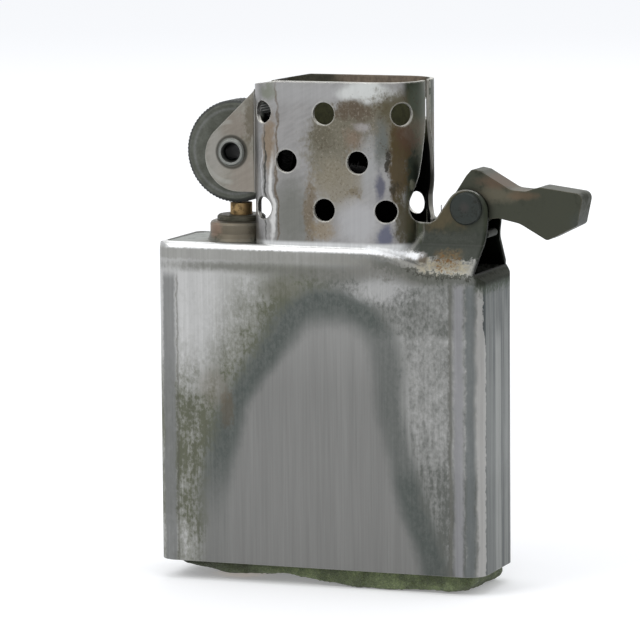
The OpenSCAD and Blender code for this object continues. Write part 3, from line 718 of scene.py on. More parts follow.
@dataclass(frozen=True)
class ShellSteel:
    """The case's thin steel: brushed upright, worn, and stained by heat and petrol, with
    highlights, reflections and shade painted into its colour.
    """

    name: str = "shell_steel"

    # The broad faces: the smooth field, the dark arch round it, and the rest.
    field_grey: Rgb = (121, 121, 119)
    upper_grey: Rgb = (132, 132, 130)
    band_grey: Rgb = (79, 84, 81)
    pale_grey: Rgb = (178, 178, 177)
    middle_grey: Rgb = (161, 161, 159)
    fleck_grey: Rgb = (94, 96, 92)
    olive_grey: Rgb = (92, 94, 80)
    rubbed_grey: Rgb = (200, 199, 192)

    # Inside the chimney, sooty and painted dark as shade, and between the cam's ears, painted black
    # as shade.
    soot_and_shade: Rgb = (5, 6, 5)
    cut_grey: Rgb = (196, 194, 186)
    soot_olive: Rgb = (62, 62, 37)
    lip_dark: Rgb = (62, 60, 47)
    lip_brown: Rgb = (125, 112, 97)
    lip_end: Rgb = (56, 54, 41)
    gap_shade: Rgb = (12, 15, 10)

    # The end walls, painted darker as shade, with the stain and painted shadow that run down from
    # the shoulders.
    end_shade_grey: Rgb = (79, 84, 83)
    end_pale: Rgb = (108, 111, 109)
    end_shade_dark: Rgb = (62, 69, 71)
    green_stain_and_shade: Rgb = (65, 75, 58)
    dark_stain_and_shadow: Rgb = (16, 25, 9)

    # The rolled rim and the fall to the shoulders, with painted highlights along the rim and a
    # painted glare down the fall.
    rim_grey: Rgb = (133, 133, 128)
    shelf_highlight: Rgb = (193, 194, 194)
    rim_highlight: Rgb = (242, 243, 243)
    crease_grey: Rgb = (82, 84, 76)
    slope_grey: Rgb = (56, 60, 52)
    glare_white: Rgb = (246, 247, 248)
    under_grey: Rgb = (49, 50, 41)
    cream: Rgb = (165, 158, 137)
    rust: Rgb = (120, 105, 75)
    rust_bright: Rgb = (114, 82, 45)
    rust_dark: Rgb = (73, 67, 50)
    rust_spot: Rgb = (77, 65, 50)

    # The ears beside the cam.
    cam_ear_brown: Rgb = (79, 71, 50)
    cam_ear_olive: Rgb = (62, 62, 45)
    cam_ear_end: Rgb = (58, 62, 52)
    cam_ear_foot: Rgb = (49, 53, 45)

    # The chimney, its right curve painted dark as shade, and the ears beside the wheel, with a
    # painted highlight along their edge.
    chimney_grey: Rgb = (135, 134, 133)
    chimney_pale: Rgb = (146, 145, 144)
    curve_shade: Rgb = (37, 45, 34)
    curve_shade_olive: Rgb = (58, 62, 47)
    spot_brown: Rgb = (68, 54, 40)
    spot_pale: Rgb = (150, 143, 131)
    ear_grey: Rgb = (124, 122, 114)
    ear_pale: Rgb = (137, 134, 126)
    ear_ring: Rgb = (54, 54, 49)
    ear_edge_highlight: Rgb = (152, 152, 146)

    # Brush lines, roughness and metal from clean to dirty, and rounded edges in mm.
    brushing: Point = (5.0, 5.0, 0.1)
    contrast: float = 0.6
    slant_rad: float = 0.5
    rough: Span = (0.4, 0.75)
    metallic: Span = (0.95, 0.3)
    face_round: float = 0.12
    edge_round: float = 0.26
    crease_round: float = 0.7

    # Where each part of the shell lies, in mm. A mask runs from a span's first value to its second.
    chimney_from: Span = (36.1, 36.5)
    chimney_middle: float = 1.4
    chimney_halves: Span = (9.1, 5.3)
    chimney_corners: Span = (3.3, 4.0)
    chimney_edges: Span = (37.2, 37.8)
    chimney_end: Span = (10.45, 10.3)
    curve_from: Span = (9.1, 9.7)
    curve_to: Span = (11.0, 10.7)
    inner_face: Span = (-0.43, -0.38)
    olive_from: Span = (45.5, 48.4)
    lip_from: Span = (50.4, 52.0)
    past_ears: Span = (-6.9, -6.4)
    wheel_ears: Span = (-7.2, -7.6)
    wheel_ears_y: Span = (2.95, 3.1)
    cam_ears: Span = (10.5, 11.0)
    cam_ears_z: Span = (35.9, 36.4)
    shoulders_z: Span = (33.0, 37.6)
    cam_ear_half: float = 2.4
    end_from: Span = (16.9, 17.6)
    end_wall: Span = (17.3, 17.6)
    end_top: Span = (31.9, 32.6)
    arch_half: float = 12.9
    arch_high: float = 30.4
    arch_power: float = 2.6
    # Painted reflections on the rounded corners: pale, bluish and grey bands, with thin dark lines
    # between them.
    corner_reflections_and_lines: tuple[Strip, ...] = (
        Strip(14.6, 14.95, 0.15, (97, 97, 92), 0.8),
        Strip(15.2, 16.2, 0.25, (132, 132, 134), 0.9),
        Strip(16.45, 17.3, 0.2, (101, 105, 105), 0.85),
        Strip(17.5, 19.0, 0.16, (170, 169, 166), 0.95),
        Strip(-17.3, -15.8, 0.2, (116, 117, 116), 0.85),
        Strip(-15.66, -15.5, 0.12, (86, 86, 79), 0.7),
    )
    end_strips: tuple[Strip, ...] = (
        Strip(-4.0, 0.0, 0.8, (110, 113, 111), 0.7, 25.0),
        Strip(-0.9, 0.9, 0.25, (142, 144, 141), 0.8, 29.0),
        Strip(2.0, 3.2, 0.3, (127, 129, 127), 0.8, 32.0),
        Strip(3.7, 6.0, 0.3, (153, 154, 152), 0.9, 31.0),
    )
    body_stains: tuple[Patch, ...] = (
        Patch(-3.6, 31.4, 2.0, 1.1, (105, 105, 95), 0.7, 0.5, 3.0, 0.3),
        Patch(-11.4, 20.6, 1.5, 1.8, (103, 97, 84), 0.4, 0.5, 4.0, 0.3),
        Patch(-10.0, 18.4, 0.7, 1.8, (94, 84, 69), 0.45, 0.5, 4.0, 0.3),
        Patch(7.2, 31.8, 2.9, 1.4, (166, 166, 165), 0.8, 0.6, 2.5),
        Patch(-9.6, 33.5, 6.6, 0.5, (92, 93, 84), 0.75, 0.9, 2.6, 0.4),
        Patch(1.2, 33.1, 6.2, 0.8, (99, 99, 93), 0.7, 0.7, 3.5, 0.3),
        Patch(12.0, 33.1, 3.4, 0.7, (94, 94, 88), 0.75, 0.7, 3.5, 0.3),
        Patch(8.0, 33.9, 4.2, 0.8, (114, 113, 108), 0.75, 0.6, 3.5, 0.3),
        Patch(3.2, 34.6, 3.4, 0.4, (125, 124, 118), 0.6, 0.6, 3.0, 0.3),
    )
    chimney_stains_and_reflections: tuple[Patch, ...] = (
        Patch(-1.0, 51.9, 5.6, 1.2, (155, 155, 155), 0.6, 0.7, 1.0),
        Patch(-2.6, 38.8, 2.3, 3.9, (101, 102, 96), 0.8, 0.6, 1.0),
        Patch(6.2, 48.2, 5.2, 3.1, (99, 94, 79), 0.92, 0.3, 1.6, 0.55),
        Patch(1.6, 46.0, 2.6, 3.6, (106, 102, 88), 0.92, 0.4, 2.2, 0.5),
        Patch(2.2, 42.4, 2.7, 2.4, (125, 119, 104), 0.85, 0.5, 2.2, 0.45),
        # A painted highlight: the glare along the chimney's top.
        Patch(5.6, 51.9, 3.0, 0.95, (191, 193, 191), 0.95, 0.4, 0.6),
        Patch(4.2, 50.0, 2.0, 0.85, (79, 65, 51), 0.7, 0.6, 4.0, 0.6),
        Patch(5.1, 48.4, 0.9, 0.5, (155, 151, 151), 0.7, 0.6, 2.5),
        Patch(0.7, 47.4, 1.0, 1.6, (84, 79, 64), 0.6, 0.6, 4.0, 0.6),
        Patch(4.2, 46.9, 1.0, 1.1, (125, 105, 90), 0.5, 0.6, 3.5, 0.4),
        Patch(5.9, 44.9, 0.9, 2.8, (146, 147, 147), 0.8, 0.6, 1.5),
        Patch(7.2, 46.8, 0.8, 2.3, (94, 99, 97), 0.8, 0.6, 2.0),
        Patch(-0.6, 39.3, 0.55, 3.3, (105, 93, 75), 0.8, 0.5, 2.6, 0.6),
        Patch(0.9, 37.7, 1.3, 0.9, (127, 114, 92), 0.75, 0.6, 3.0, 0.5),
        Patch(4.7, 38.5, 2.0, 2.5, (161, 161, 162), 0.85, 0.5, 1.2),
        Patch(4.3, 41.7, 0.9, 0.35, (105, 95, 75), 0.7, 0.5, 4.5, 0.6),
        Patch(7.1, 42.4, 0.45, 1.5, (79, 80, 94), 0.85, 0.5, 1.6),
        Patch(7.6, 37.2, 0.7, 1.0, (84, 87, 105), 0.85, 0.5, 1.6),
        Patch(8.8, 44.4, 0.75, 4.6, (67, 54, 24), 0.95, 0.35, 2.0, 0.6),
        Patch(9.6, 47.4, 0.7, 1.4, (77, 52, 39), 0.6, 0.6, 4.0, 0.6),
        Patch(9.3, 38.8, 0.8, 2.4, (65, 60, 39), 0.9, 0.5, 2.6, 0.6),
        Patch(7.9, 44.9, 0.16, 1.4, (34, 30, 21), 0.85, 0.4, 5.0, 0.6),
        Patch(8.5, 41.9, 0.4, 0.7, (41, 37, 26), 0.75, 0.5, 4.0, 0.6),
        Patch(9.9, 42.1, 0.14, 0.5, (140, 140, 122), 0.7, 0.5, 3.0),
        Patch(9.9, 39.9, 0.16, 0.5, (131, 131, 112), 0.6, 0.5, 3.0),
        Patch(8.7, 50.6, 1.9, 1.6, (79, 73, 52), 0.85, 0.5, 3.0, 0.5),
        Patch(10.3, 51.0, 0.5, 1.8, (71, 79, 67), 0.8, 0.6, 1.5, 0.5),
        Patch(-5.2, 46.6, 0.7, 2.8, (123, 105, 82), 0.75, 0.6, 2.6, 0.3),
        Patch(-5.2, 51.9, 0.9, 0.8, (108, 113, 97), 0.7, 0.6, 2.0, 0.2),
        # Painted reflections on the chimney's left corner: the light and dark upright streaks. The
        # brown line among them is a stain.
        Patch(-4.85, 40.4, 0.26, 4.4, (198, 198, 196), 0.9, 0.5, 1.2),
        Patch(-4.25, 43.6, 0.12, 8.8, (86, 73, 56), 0.75, 0.6, 1.6, 0.6),
        Patch(-5.6, 42.4, 0.12, 6.0, (56, 58, 54), 0.85, 0.4, 0.8),
        Patch(-6.05, 43.0, 0.1, 3.0, (187, 187, 187), 0.75, 0.4, 0.8),
    )
    ear_stains: tuple[Patch, ...] = (
        Patch(-9.8, 47.9, 1.7, 1.8, (122, 113, 104), 0.6, 0.6, 4.0, 0.2),
        Patch(-8.1, 48.8, 0.8, 2.2, (92, 86, 73), 0.75, 0.5, 4.0, 0.4),
        Patch(-8.9, 45.9, 0.8, 1.1, (97, 92, 79), 0.6, 0.5, 4.5, 0.3),
        Patch(-8.8, 42.2, 1.6, 2.4, (133, 124, 115), 0.6, 0.6, 3.0, 0.1),
        Patch(-12.3, 45.0, 0.9, 3.0, (146, 144, 139), 0.6, 0.6, 2.0),
    )

    def build(self, effects: Effects) -> bpy.types.Material:
        """Lays the layers one over another, from the case's smooth field up to the sooty insides
        and their painted shade.

        Args:
            effects: The shared groups.

        Returns:
            The material.
        """
        material, sheet = new_material(self.name)
        place = sheet.group(effects.place, {})["Position"]
        axes = sheet.add("SeparateXYZ", {0: place}).outputs
        drawn = sheet.vector("MULTIPLY", place, (1.0, 1.0, 0.7))
        cloud = sheet.noise(place, 0.35, 4.0, 0.6)
        speck = sheet.noise(drawn, 2.6, 6.0, 0.7)
        rag = sheet.minus(sheet.plus(sheet.times(cloud, 0.3), sheet.times(speck, 0.7)), 0.5)
        ground = Ground(sheet, effects, place, axes, cloud, speck, rag)
        inputs = {"Position": place, "Density": self.brushing, "Contrast": self.contrast}
        grain = sheet.group(effects.grain, inputs)
        wear = sheet.group(effects.wear, {"Position": place, "Radius": self._round(ground)})
        colour, dirt = self._arch(ground)
        colour = self._strips(ground, colour)
        colour, dirt = lay(ground, self.body_stains, colour, dirt)
        for layer in (self._ends, self._rim, self._fall):
            colour, dirt = layer(ground, colour, dirt)
        upper = sheet.ease(axes["Z"], *self.chimney_from)
        tall, tall_dirt = self._chimney(ground)
        colour = sheet.mix(upper, colour, tall)
        dirt = sheet.times(dirt, sheet.minus(1.0, upper))
        dirt = sheet.plus(dirt, sheet.times(tall_dirt, upper))
        colour, dirt = self._cam_ears(ground, colour, dirt)
        brushed = sheet.minus(1.0, sheet.times(upper, 0.6))
        colour = sheet.mix(brushed, colour, grain["Shade"], Blend.SHADE)
        corner = sheet.times(sheet.ease(axes["X"], 16.6, 17.2), sheet.ease(axes["Z"], 31.2, 32.4))
        # Higher up, the rubbed edges are wider and paler: wear, and painted highlights along the
        # chimney's and ears' edges.
        amount = sheet.ease(axes["Z"], *self.chimney_edges, 0.4, 0.75)
        rubbed = sheet.minus(sheet.times(wear["Mask"], amount), corner, clamp=True)
        colour = sheet.paint(rubbed, colour, self.rubbed_grey)
        colour, dirt, soot_and_shade = self._sooted_and_shaded(ground, colour, dirt)
        rough = sheet.plus(sheet.ease(dirt, 0.0, 1.0, *self.rough), sheet.times(upper, -0.06))
        height = sheet.plus(grain["Height"], sheet.times(speck, dirt))
        # Where the painted shade is deepest, the black is made fully metallic, so that it reflects
        # next to nothing.
        metallic = sheet.most(sheet.ease(dirt, 0.0, 1.0, *self.metallic), soot_and_shade)
        sheet.metal(colour, metallic, rough, height, wear["Normal"], 0.2)
        return material

    def _round(self, ground: Ground) -> Socket:
        """Rounds the normal further along the shoulders' creases and the chimney's edges.

        Args:
            ground: What the finish is written from.

        Returns:
            The radius over the surface.
        """
        sheet, axes = ground.sheet, ground.axes
        shoulders = sheet.between(axes["Z"], *self.shoulders_z, 0.5)
        crease = sheet.times(sheet.ease(axes["X"], 5.0, 8.0), shoulders)
        radius = sheet.ease(crease, 0.0, 1.0, self.face_round * MM, self.crease_round * MM)
        tall = sheet.ease(axes["Z"], *self.chimney_edges)
        tall = sheet.times(tall, sheet.ease(axes["X"], *self.past_ears))
        return sheet.most(radius, sheet.times(tall, self.edge_round * MM))

    def _sooted_and_shaded(
        self, ground: Ground, colour: Value, dirt: Value
    ) -> tuple[Socket, Socket, Socket]:
        """Darkens the chimney's inner walls, sooty and in painted shade: black below, olive and
        brown towards the top.

        The walls of the air holes stay bright, and the gap between the cam's ears is painted dark
        as shade.

        Args:
            ground: What the finish is written from.
            colour: The colour so far.
            dirt: How dirty the surface is so far.

        Returns:
            The colour, the dirt, and where the painted dark is deep enough to swallow reflections.
        """
        sheet, axes, speck = ground.sheet, ground.axes, ground.speck
        depth = self._depth(ground)
        tall = sheet.ease(axes["Z"], 36.2, 36.4)
        tall = sheet.times(tall, sheet.ease(axes["X"], *self.past_ears))
        tall = sheet.times(tall, sheet.ease(axes["X"], *self.chimney_end))
        # The sheet's cut edges round the air holes and along the top are bare.
        cut = sheet.times(sheet.between(depth, -0.4, -0.06, 0.03), tall)
        colour = sheet.paint(sheet.times(cut, 0.8), colour, self.cut_grey)
        # The inner walls are painted sooty and dark as shade, black low down and lighter towards
        # the top.
        soot_and_shade = sheet.ease(depth, *self.inner_face, 1.0, 0.0)
        soot_and_shade = sheet.times(soot_and_shade, sheet.ease(axes["Z"], 36.0, 36.2))
        soot_and_shade = sheet.times(soot_and_shade, sheet.ease(axes["X"], *self.past_ears))
        inner = sheet.tones(sheet.ease(axes["Z"], *self.olive_from), self.soot_and_shade, self.soot_olive)
        lip = sheet.tones(sheet.ease(axes["X"], -2.6, 0.4), self.lip_dark, self.lip_brown)
        lip = sheet.paint(sheet.ease(axes["X"], 8.0, 9.6), lip, self.lip_end)
        inner = sheet.mix(sheet.ease(axes["Z"], *self.lip_from), inner, lip)
        inner = sheet.mix(1.0, inner, sheet.ease(speck, 0.35, 0.65, 0.75, 1.2), Blend.SHADE)
        dirt = sheet.most(dirt, sheet.times(soot_and_shade, 0.9))
        colour = sheet.mix(soot_and_shade, colour, inner)
        # The gap between the cam's ears is painted near black as shade.
        between = self._cam_gap(ground)
        colour = sheet.paint(between, colour, self.gap_shade)
        low = sheet.times(soot_and_shade, sheet.ease(axes["Z"], 48.0, 46.0))
        # The end walls' rounded tops are painted shadow that swallows reflections too.
        shoulder = sheet.ease(axes["Z"], *self.end_top)
        shoulder = sheet.times(shoulder, sheet.ease(axes["X"], *self.end_from))
        low = sheet.most(low, shoulder)
        return colour, dirt, sheet.most(low, between)

    def _depth(self, ground: Ground) -> Socket:
        """Measures how deep a point lies inside the chimney's rounded outline.

        Args:
            ground: What the finish is written from.

        Returns:
            The depth in mm: 0 on the outer face, and below 0 inside.
        """
        sheet, axes = ground.sheet, ground.axes
        across = sheet.minus(axes["X"], self.chimney_middle)
        corner = sheet.ease(across, -0.01, 0.01, *self.chimney_corners)
        half_x, half_y = self.chimney_halves
        out_x = sheet.minus(sheet.size(across), sheet.minus(half_x, corner))
        out_y = sheet.minus(sheet.size(axes["Y"]), sheet.minus(half_y, corner))
        past = sheet.slant(sheet.most(out_x, 0.0), sheet.most(out_y, 0.0))
        deep = sheet.least(sheet.most(out_x, out_y), 0.0)
        return sheet.minus(sheet.plus(past, deep), corner)

    def _cam_gap(self, ground: Ground) -> Socket:
        """Finds the gap between the cam's ears, which narrows upwards.

        Args:
            ground: What the finish is written from.

        Returns:
            1 in the gap.
        """
        sheet, axes = ground.sheet, ground.axes
        gap = sheet.times(sheet.ease(axes["X"], 10.9, 11.2), sheet.ease(axes["Z"], 33.3, 33.5))
        wide = sheet.ease(axes["Z"], 33.5, 36.9, 5.2, self.cam_ear_half - 0.25)
        near = sheet.ease(sheet.size(axes["Y"]), wide, sheet.plus(wide, 0.12), 1.0, 0.0)
        return sheet.times(gap, near)

    def _arch(self, ground: Ground) -> tuple[Socket, Socket]:
        """Shades the smooth field on each broad face, the dark arch round it and the rest.

        Args:
            ground: What the finish is written from.

        Returns:
            The colour and the dirt.
        """
        sheet, x, z = ground.sheet, ground.axes["X"], ground.axes["Z"]
        away = self._from_arch(ground)
        left = sheet.ease(x, -2.0, 3.0, 1.0, 0.0)
        right = sheet.minus(1.0, left)
        # The band fades at its foot on the left, and thins along the right.
        low_left = sheet.times(left, sheet.ease(z, 15.0, 5.0, 0.0, 0.85))
        deep = sheet.ease(z, 20.0, 27.0, -3.1, -3.6)
        band = sheet.times(sheet.ease(away, deep, -0.7), sheet.minus(1.0, low_left))
        side = sheet.times(right, sheet.times(sheet.ease(z, 28.5, 26.0), sheet.ease(z, 11.0, 14.0)))
        band = sheet.times(band, sheet.minus(1.0, sheet.times(side, 0.35)))
        band = sheet.times(band, sheet.ease(ground.speck, 0.35, 0.65, 1.0, 0.78))
        field = sheet.tones(sheet.ease(z, 20.0, 28.0), self.field_grey, self.upper_grey)
        colour = sheet.paint(band, field, self.band_grey)
        mottle, dark = self._mottled(ground, away, left)
        outside = sheet.times(sheet.ease(away, 0.2, 2.4), left)
        outside = sheet.plus(outside, sheet.times(sheet.ease(away, 0.2, 1.7), right))
        dirt = sheet.times(sheet.times(dark, outside), 0.3)
        return sheet.mix(outside, colour, mottle), dirt

    def _from_arch(self, ground: Ground) -> Socket:
        """Measures how far a point is from the arch's outline.

        Args:
            ground: What the finish is written from.

        Returns:
            The distance in mm, ragged, and below 0 inside the arch.
        """
        sheet, x, z = ground.sheet, ground.axes["X"], ground.axes["Z"]
        half, high, power = self.arch_half, self.arch_high, self.arch_power
        middle = sheet.ease(z, 18.0, 26.5, -0.5, 1.7)
        middle = sheet.plus(middle, sheet.ease(z, 3.0, 10.0, 1.2, 0.0))
        across = sheet.size(sheet.minus(x, middle))
        # Level is 0 on the outline. Over its own slope, it is the distance from there.
        level = sheet.math("POWER", sheet.math("DIVIDE", across, half), power)
        level = sheet.minus(sheet.plus(level, sheet.math("DIVIDE", z, high)), 1.0)
        slope = sheet.times(sheet.math("POWER", across, power - 1.0), power / half**power)
        away = sheet.math("DIVIDE", level, sheet.slant(slope, 1.0 / high))
        away = sheet.plus(away, sheet.times(sheet.minus(ground.cloud, 0.5), 1.4))
        return sheet.plus(away, ground.ragged(1.6))

    def _mottled(self, ground: Ground, away: Socket, left: Socket) -> tuple[Socket, Socket]:
        """Shades what is outside the arch: dark downwards on the left, flecked on the right.

        Args:
            ground: What the finish is written from.
            away: The distance from the arch.
            left: 1 on the left part and 0 on the right one.

        Returns:
            The colour, and how dark it is.
        """
        sheet, z = ground.sheet, ground.axes["Z"]
        drawn = sheet.vector("MULTIPLY", ground.place, (2.6, 2.6, 0.22))
        lines = sheet.minus(sheet.noise(drawn, 1.0, 4.0, 0.65), 0.5)
        lines = sheet.times(lines, sheet.ease(z, 26.0, 12.0, 0.2, 1.2))
        flecks = sheet.plus(ground.ragged(1.7), lines)
        clouds = sheet.times(sheet.minus(ground.cloud, 0.5), 1.4)
        near = sheet.times(sheet.ease(away, 6.0, 1.6), sheet.ease(z, 18.0, 24.0, 0.5, 0.9))
        shade = sheet.plus(sheet.ease(z, 28.0, 15.5, 0.0, 0.95), sheet.ease(z, 9.0, 3.0, 0.0, -0.4))
        shade = sheet.most(shade, near)
        calm = sheet.ease(shade, 0.0, 0.5, 0.35, 1.0)
        uneven = sheet.times(sheet.plus(flecks, clouds), calm)
        shade = sheet.plus(shade, uneven, clamp=True)
        left_part = sheet.tones(shade, self.pale_grey, self.olive_grey)
        patchy = sheet.ease(z, 15.5, 10.0, 0.46, 0.95)
        patchy = sheet.plus(patchy, sheet.between(z, 27.6, 32.0, 1.2))
        patchy = sheet.least(patchy, sheet.ease(z, 15.5, 10.0, 0.72, 0.95))
        patchy = sheet.plus(patchy, sheet.plus(flecks, sheet.times(clouds, 0.7)), clamp=True)
        right_part = sheet.tones(patchy, self.middle_grey, self.fleck_grey)
        return sheet.mix(left, right_part, left_part), sheet.mix(left, patchy, shade)

    def _strips(self, ground: Ground, colour: Value) -> Value:
        """Lays the upright strips beside both corners and round the right one: painted reflections
        of the rounded corners, with thin dark lines between them.

        Args:
            ground: What the finish is written from.
            colour: The colour so far.

        Returns:
            The colour.
        """
        sheet, axes, place = ground.sheet, ground.axes, ground.place
        wobble = sheet.noise(sheet.vector("MULTIPLY", place, (0.3, 0.3, 0.35)), 1.0, 3.0)
        wobble = sheet.times(sheet.minus(wobble, 0.5), 0.5)
        wobble = sheet.plus(wobble, ground.ragged(0.5))
        x = sheet.plus(axes["X"], wobble)
        for strip in self.corner_reflections_and_lines:
            below = sheet.ease(axes["Z"], strip.top - 1.4, strip.top, 1.0, 0.0)
            mask = sheet.times(strip.mask(sheet, x), below)
            colour = sheet.paint(sheet.times(mask, strip.amount), colour, strip.grey)
        return colour

    def _ends(self, ground: Ground, colour: Value, dirt: Value) -> tuple[Socket, Socket]:
        """Darkens the end walls as painted shade, with pale upright streaks, and lays a green stain
        on top that darkens into painted shadow.

        Args:
            ground: What the finish is written from.
            colour: The colour so far.
            dirt: How dirty the surface is so far.

        Returns:
            The colour and the dirt.
        """
        sheet, axes, place = ground.sheet, ground.axes, ground.place
        z = axes["Z"]
        ragged = ground.ragged(1.2)
        near = sheet.plus(sheet.size(axes["Y"]), ragged)
        turn = sheet.ease(z, 25.5, 28.5, 3.9, 4.35)
        end = sheet.ease(near, turn, sheet.plus(turn, 0.15), 1.0, 0.0)
        end = sheet.times(end, sheet.ease(sheet.size(axes["X"]), *self.end_wall))
        lines = sheet.noise(sheet.vector("MULTIPLY", place, (0.6, 1.7, 0.06)), 1.0, 4.0, 0.7)
        # The end walls' darker grey is painted shade.
        shade = sheet.tones(sheet.ease(lines, 0.42, 0.62), self.end_shade_grey, self.end_pale)
        shade = sheet.paint(sheet.ease(lines, 0.44, 0.32), shade, self.end_shade_dark)
        for strip in self.end_strips:
            streak = strip.mask(sheet, axes["Y"])
            streak = sheet.times(streak, sheet.ease(z, strip.top, strip.top - 4.0))
            broken = sheet.ease(lines, 0.3, 0.5, 0.6 * strip.amount, strip.amount)
            shade = sheet.paint(sheet.times(streak, broken), shade, strip.grey)
        colour = sheet.mix(end, colour, shade)
        # On top, the green stain darkens into painted shadow on the rounded tops.
        high = sheet.plus(z, ground.ragged(4.0))
        green = sheet.times(sheet.ease(high, 30.8, 32.6), sheet.ease(axes["X"], *self.end_from))
        stain = sheet.tones(sheet.ease(z, 31.7, 32.7), self.green_stain_and_shade, self.dark_stain_and_shadow)
        colour = sheet.mix(sheet.times(green, 0.95), colour, stain)
        return colour, sheet.most(dirt, green)

    def _rim(self, ground: Ground, colour: Value, dirt: Value) -> tuple[Socket, Socket]:
        """Paints a highlight along the rolled rim's front and a paler one on its top, and leaves it
        brushed grey below.

        Args:
            ground: What the finish is written from.
            colour: The colour so far.
            dirt: How dirty the surface is so far.

        Returns:
            The colour and the dirt.
        """
        sheet, axes = ground.sheet, ground.axes
        x, z = axes["X"], axes["Z"]
        face = sheet.ease(sheet.size(axes["Y"]), 4.9, 5.2)
        ragged = sheet.plus(z, ground.ragged(0.9))
        below = sheet.times(sheet.between(ragged, 34.1, 35.3, 0.2), sheet.ease(x, 7.0, 3.0))
        colour = sheet.paint(sheet.times(below, 0.7), colour, self.rim_grey)
        # A painted highlight along the rim's front, and a paler grey painted on its top as a
        # highlight.
        smoother = sheet.plus(z, ground.ragged(0.35))
        bright = sheet.times(sheet.ease(smoother, 35.2, 35.42), sheet.ease(z, 35.95, 35.8))
        bright = sheet.times(bright, sheet.times(face, sheet.ease(x, -17.0, -16.2)))
        bright = sheet.times(bright, sheet.ease(x, 11.6, 10.6))
        shelf = sheet.times(sheet.ease(z, 35.5, 35.8), sheet.ease(x, 10.6, 9.6))
        colour = sheet.paint(shelf, colour, self.shelf_highlight)
        level = sheet.ease(x, -3.4, -1.0, 1.0, 0.8)
        colour = sheet.paint(sheet.times(bright, level), colour, self.rim_highlight)
        return colour, sheet.times(dirt, sheet.minus(1.0, sheet.most(bright, shelf)))

    def _fall(self, ground: Ground, colour: Value, dirt: Value) -> tuple[Socket, Socket]:
        """Lays the cream band, rust, dark crease and painted glare that follow the fall to the
        shoulders.

        Args:
            ground: What the finish is written from.
            colour: The colour so far.
            dirt: How dirty the surface is so far.

        Returns:
            The colour and the dirt.
        """
        sheet, axes, place, speck = ground.sheet, ground.axes, ground.place, ground.speck
        x = axes["X"]
        # Heights are taken above the line along which the rim falls to the shoulder.
        line = sheet.ease(x, 5.5, 13.5, 35.3, 33.6)
        off = sheet.minus(speck, 0.5)
        broken = sheet.noise(place, 1.9, 5.0, 0.72)
        above = sheet.plus(sheet.minus(axes["Z"], line), sheet.times(off, 2.6))
        right = sheet.ease(x, 4.5, 8.0)
        crease = sheet.times(sheet.between(above, -1.2, -0.35, 0.3), right)
        colour = sheet.paint(sheet.times(crease, 0.55), colour, self.crease_grey)
        slope = sheet.times(sheet.ease(above, 1.0, 1.5), sheet.ease(x, 8.5, 11.0))
        colour = sheet.paint(sheet.times(slope, 0.95), colour, self.slope_grey)
        # A painted highlight: the glare along the fall.
        glare = sheet.minus(axes["Z"], sheet.ease(x, 5.0, 11.5, 35.75, 35.1))
        glare = sheet.between(sheet.plus(glare, sheet.times(off, 0.8)), -0.3, 0.3, 0.2)
        glare = sheet.times(glare, sheet.between(x, 5.5, 11.4, 0.5))
        colour = sheet.paint(glare, colour, self.glare_white)
        under = sheet.times(sheet.between(above, -0.5, -0.15, 0.12), sheet.ease(x, 8.5, 10.5))
        colour = sheet.paint(sheet.times(under, 0.8), colour, self.under_grey)
        cream = sheet.times(sheet.between(above, 0.0, 1.0, 0.2), sheet.between(x, 11.2, 16.6, 0.7))
        cream = sheet.times(cream, sheet.ease(broken, 0.42, 0.55, 0.2, 1.0))
        colour = sheet.paint(sheet.times(cream, 0.9), colour, self.cream)
        rust = sheet.times(sheet.between(above, 0.35, 2.1, 0.3), sheet.between(x, 12.8, 15.4, 0.6))
        rust = sheet.times(rust, sheet.ease(broken, 0.4, 0.52, 0.35, 1.0))
        colour = sheet.paint(sheet.times(rust, 0.6), colour, self.rust)
        fleck = sheet.times(rust, sheet.ease(speck, 0.5, 0.56))
        colour = sheet.paint(sheet.times(fleck, 0.9), colour, self.rust_bright)
        fleck = sheet.times(rust, sheet.ease(speck, 0.43, 0.39))
        colour = sheet.paint(sheet.times(fleck, 0.8), colour, self.rust_dark)
        spot = sheet.times(sheet.between(above, 0.5, 1.4, 0.3), sheet.between(x, 10.9, 11.9, 0.25))
        colour = sheet.paint(sheet.times(spot, 0.8), colour, self.rust_spot)
        # The glare counts as dirt too, so that it is rough and less metallic.
        rough = sheet.most(sheet.times(crease, 0.5), sheet.most(cream, rust))
        rough = sheet.most(rough, sheet.times(slope, 0.8))
        rough = sheet.most(rough, glare)
        return colour, sheet.most(dirt, sheet.times(rough, 0.9))

    def _cam_ears(self, ground: Ground, colour: Value, dirt: Value) -> tuple[Socket, Socket]:
        """Dulls the olive ears beside the cam and the dark bend that they stand on.

        Args:
            ground: What the finish is written from.
            colour: The colour so far.
            dirt: How dirty the surface is so far.

        Returns:
            The colour and the dirt.
        """
        sheet, axes, cloud, speck = ground.sheet, ground.axes, ground.cloud, ground.speck
        x, z = axes["X"], axes["Z"]
        worn = ground.ragged(1.4)
        high = sheet.plus(z, worn)
        ear = sheet.tones(sheet.ease(cloud, 0.42, 0.6), self.cam_ear_brown, self.cam_ear_olive)
        ear = sheet.paint(sheet.ease(x, 14.6, 16.2), ear, self.cam_ear_end)
        ear = sheet.paint(sheet.ease(high, 38.3, 37.1), ear, self.cam_ear_foot)
        ear = sheet.mix(1.0, ear, sheet.ease(speck, 0.35, 0.65, 0.92, 1.08), Blend.SHADE)
        mask = sheet.times(sheet.ease(x, *self.cam_ears), sheet.ease(z, *self.cam_ears_z))
        return sheet.mix(mask, colour, ear), sheet.most(dirt, sheet.times(mask, 0.8))

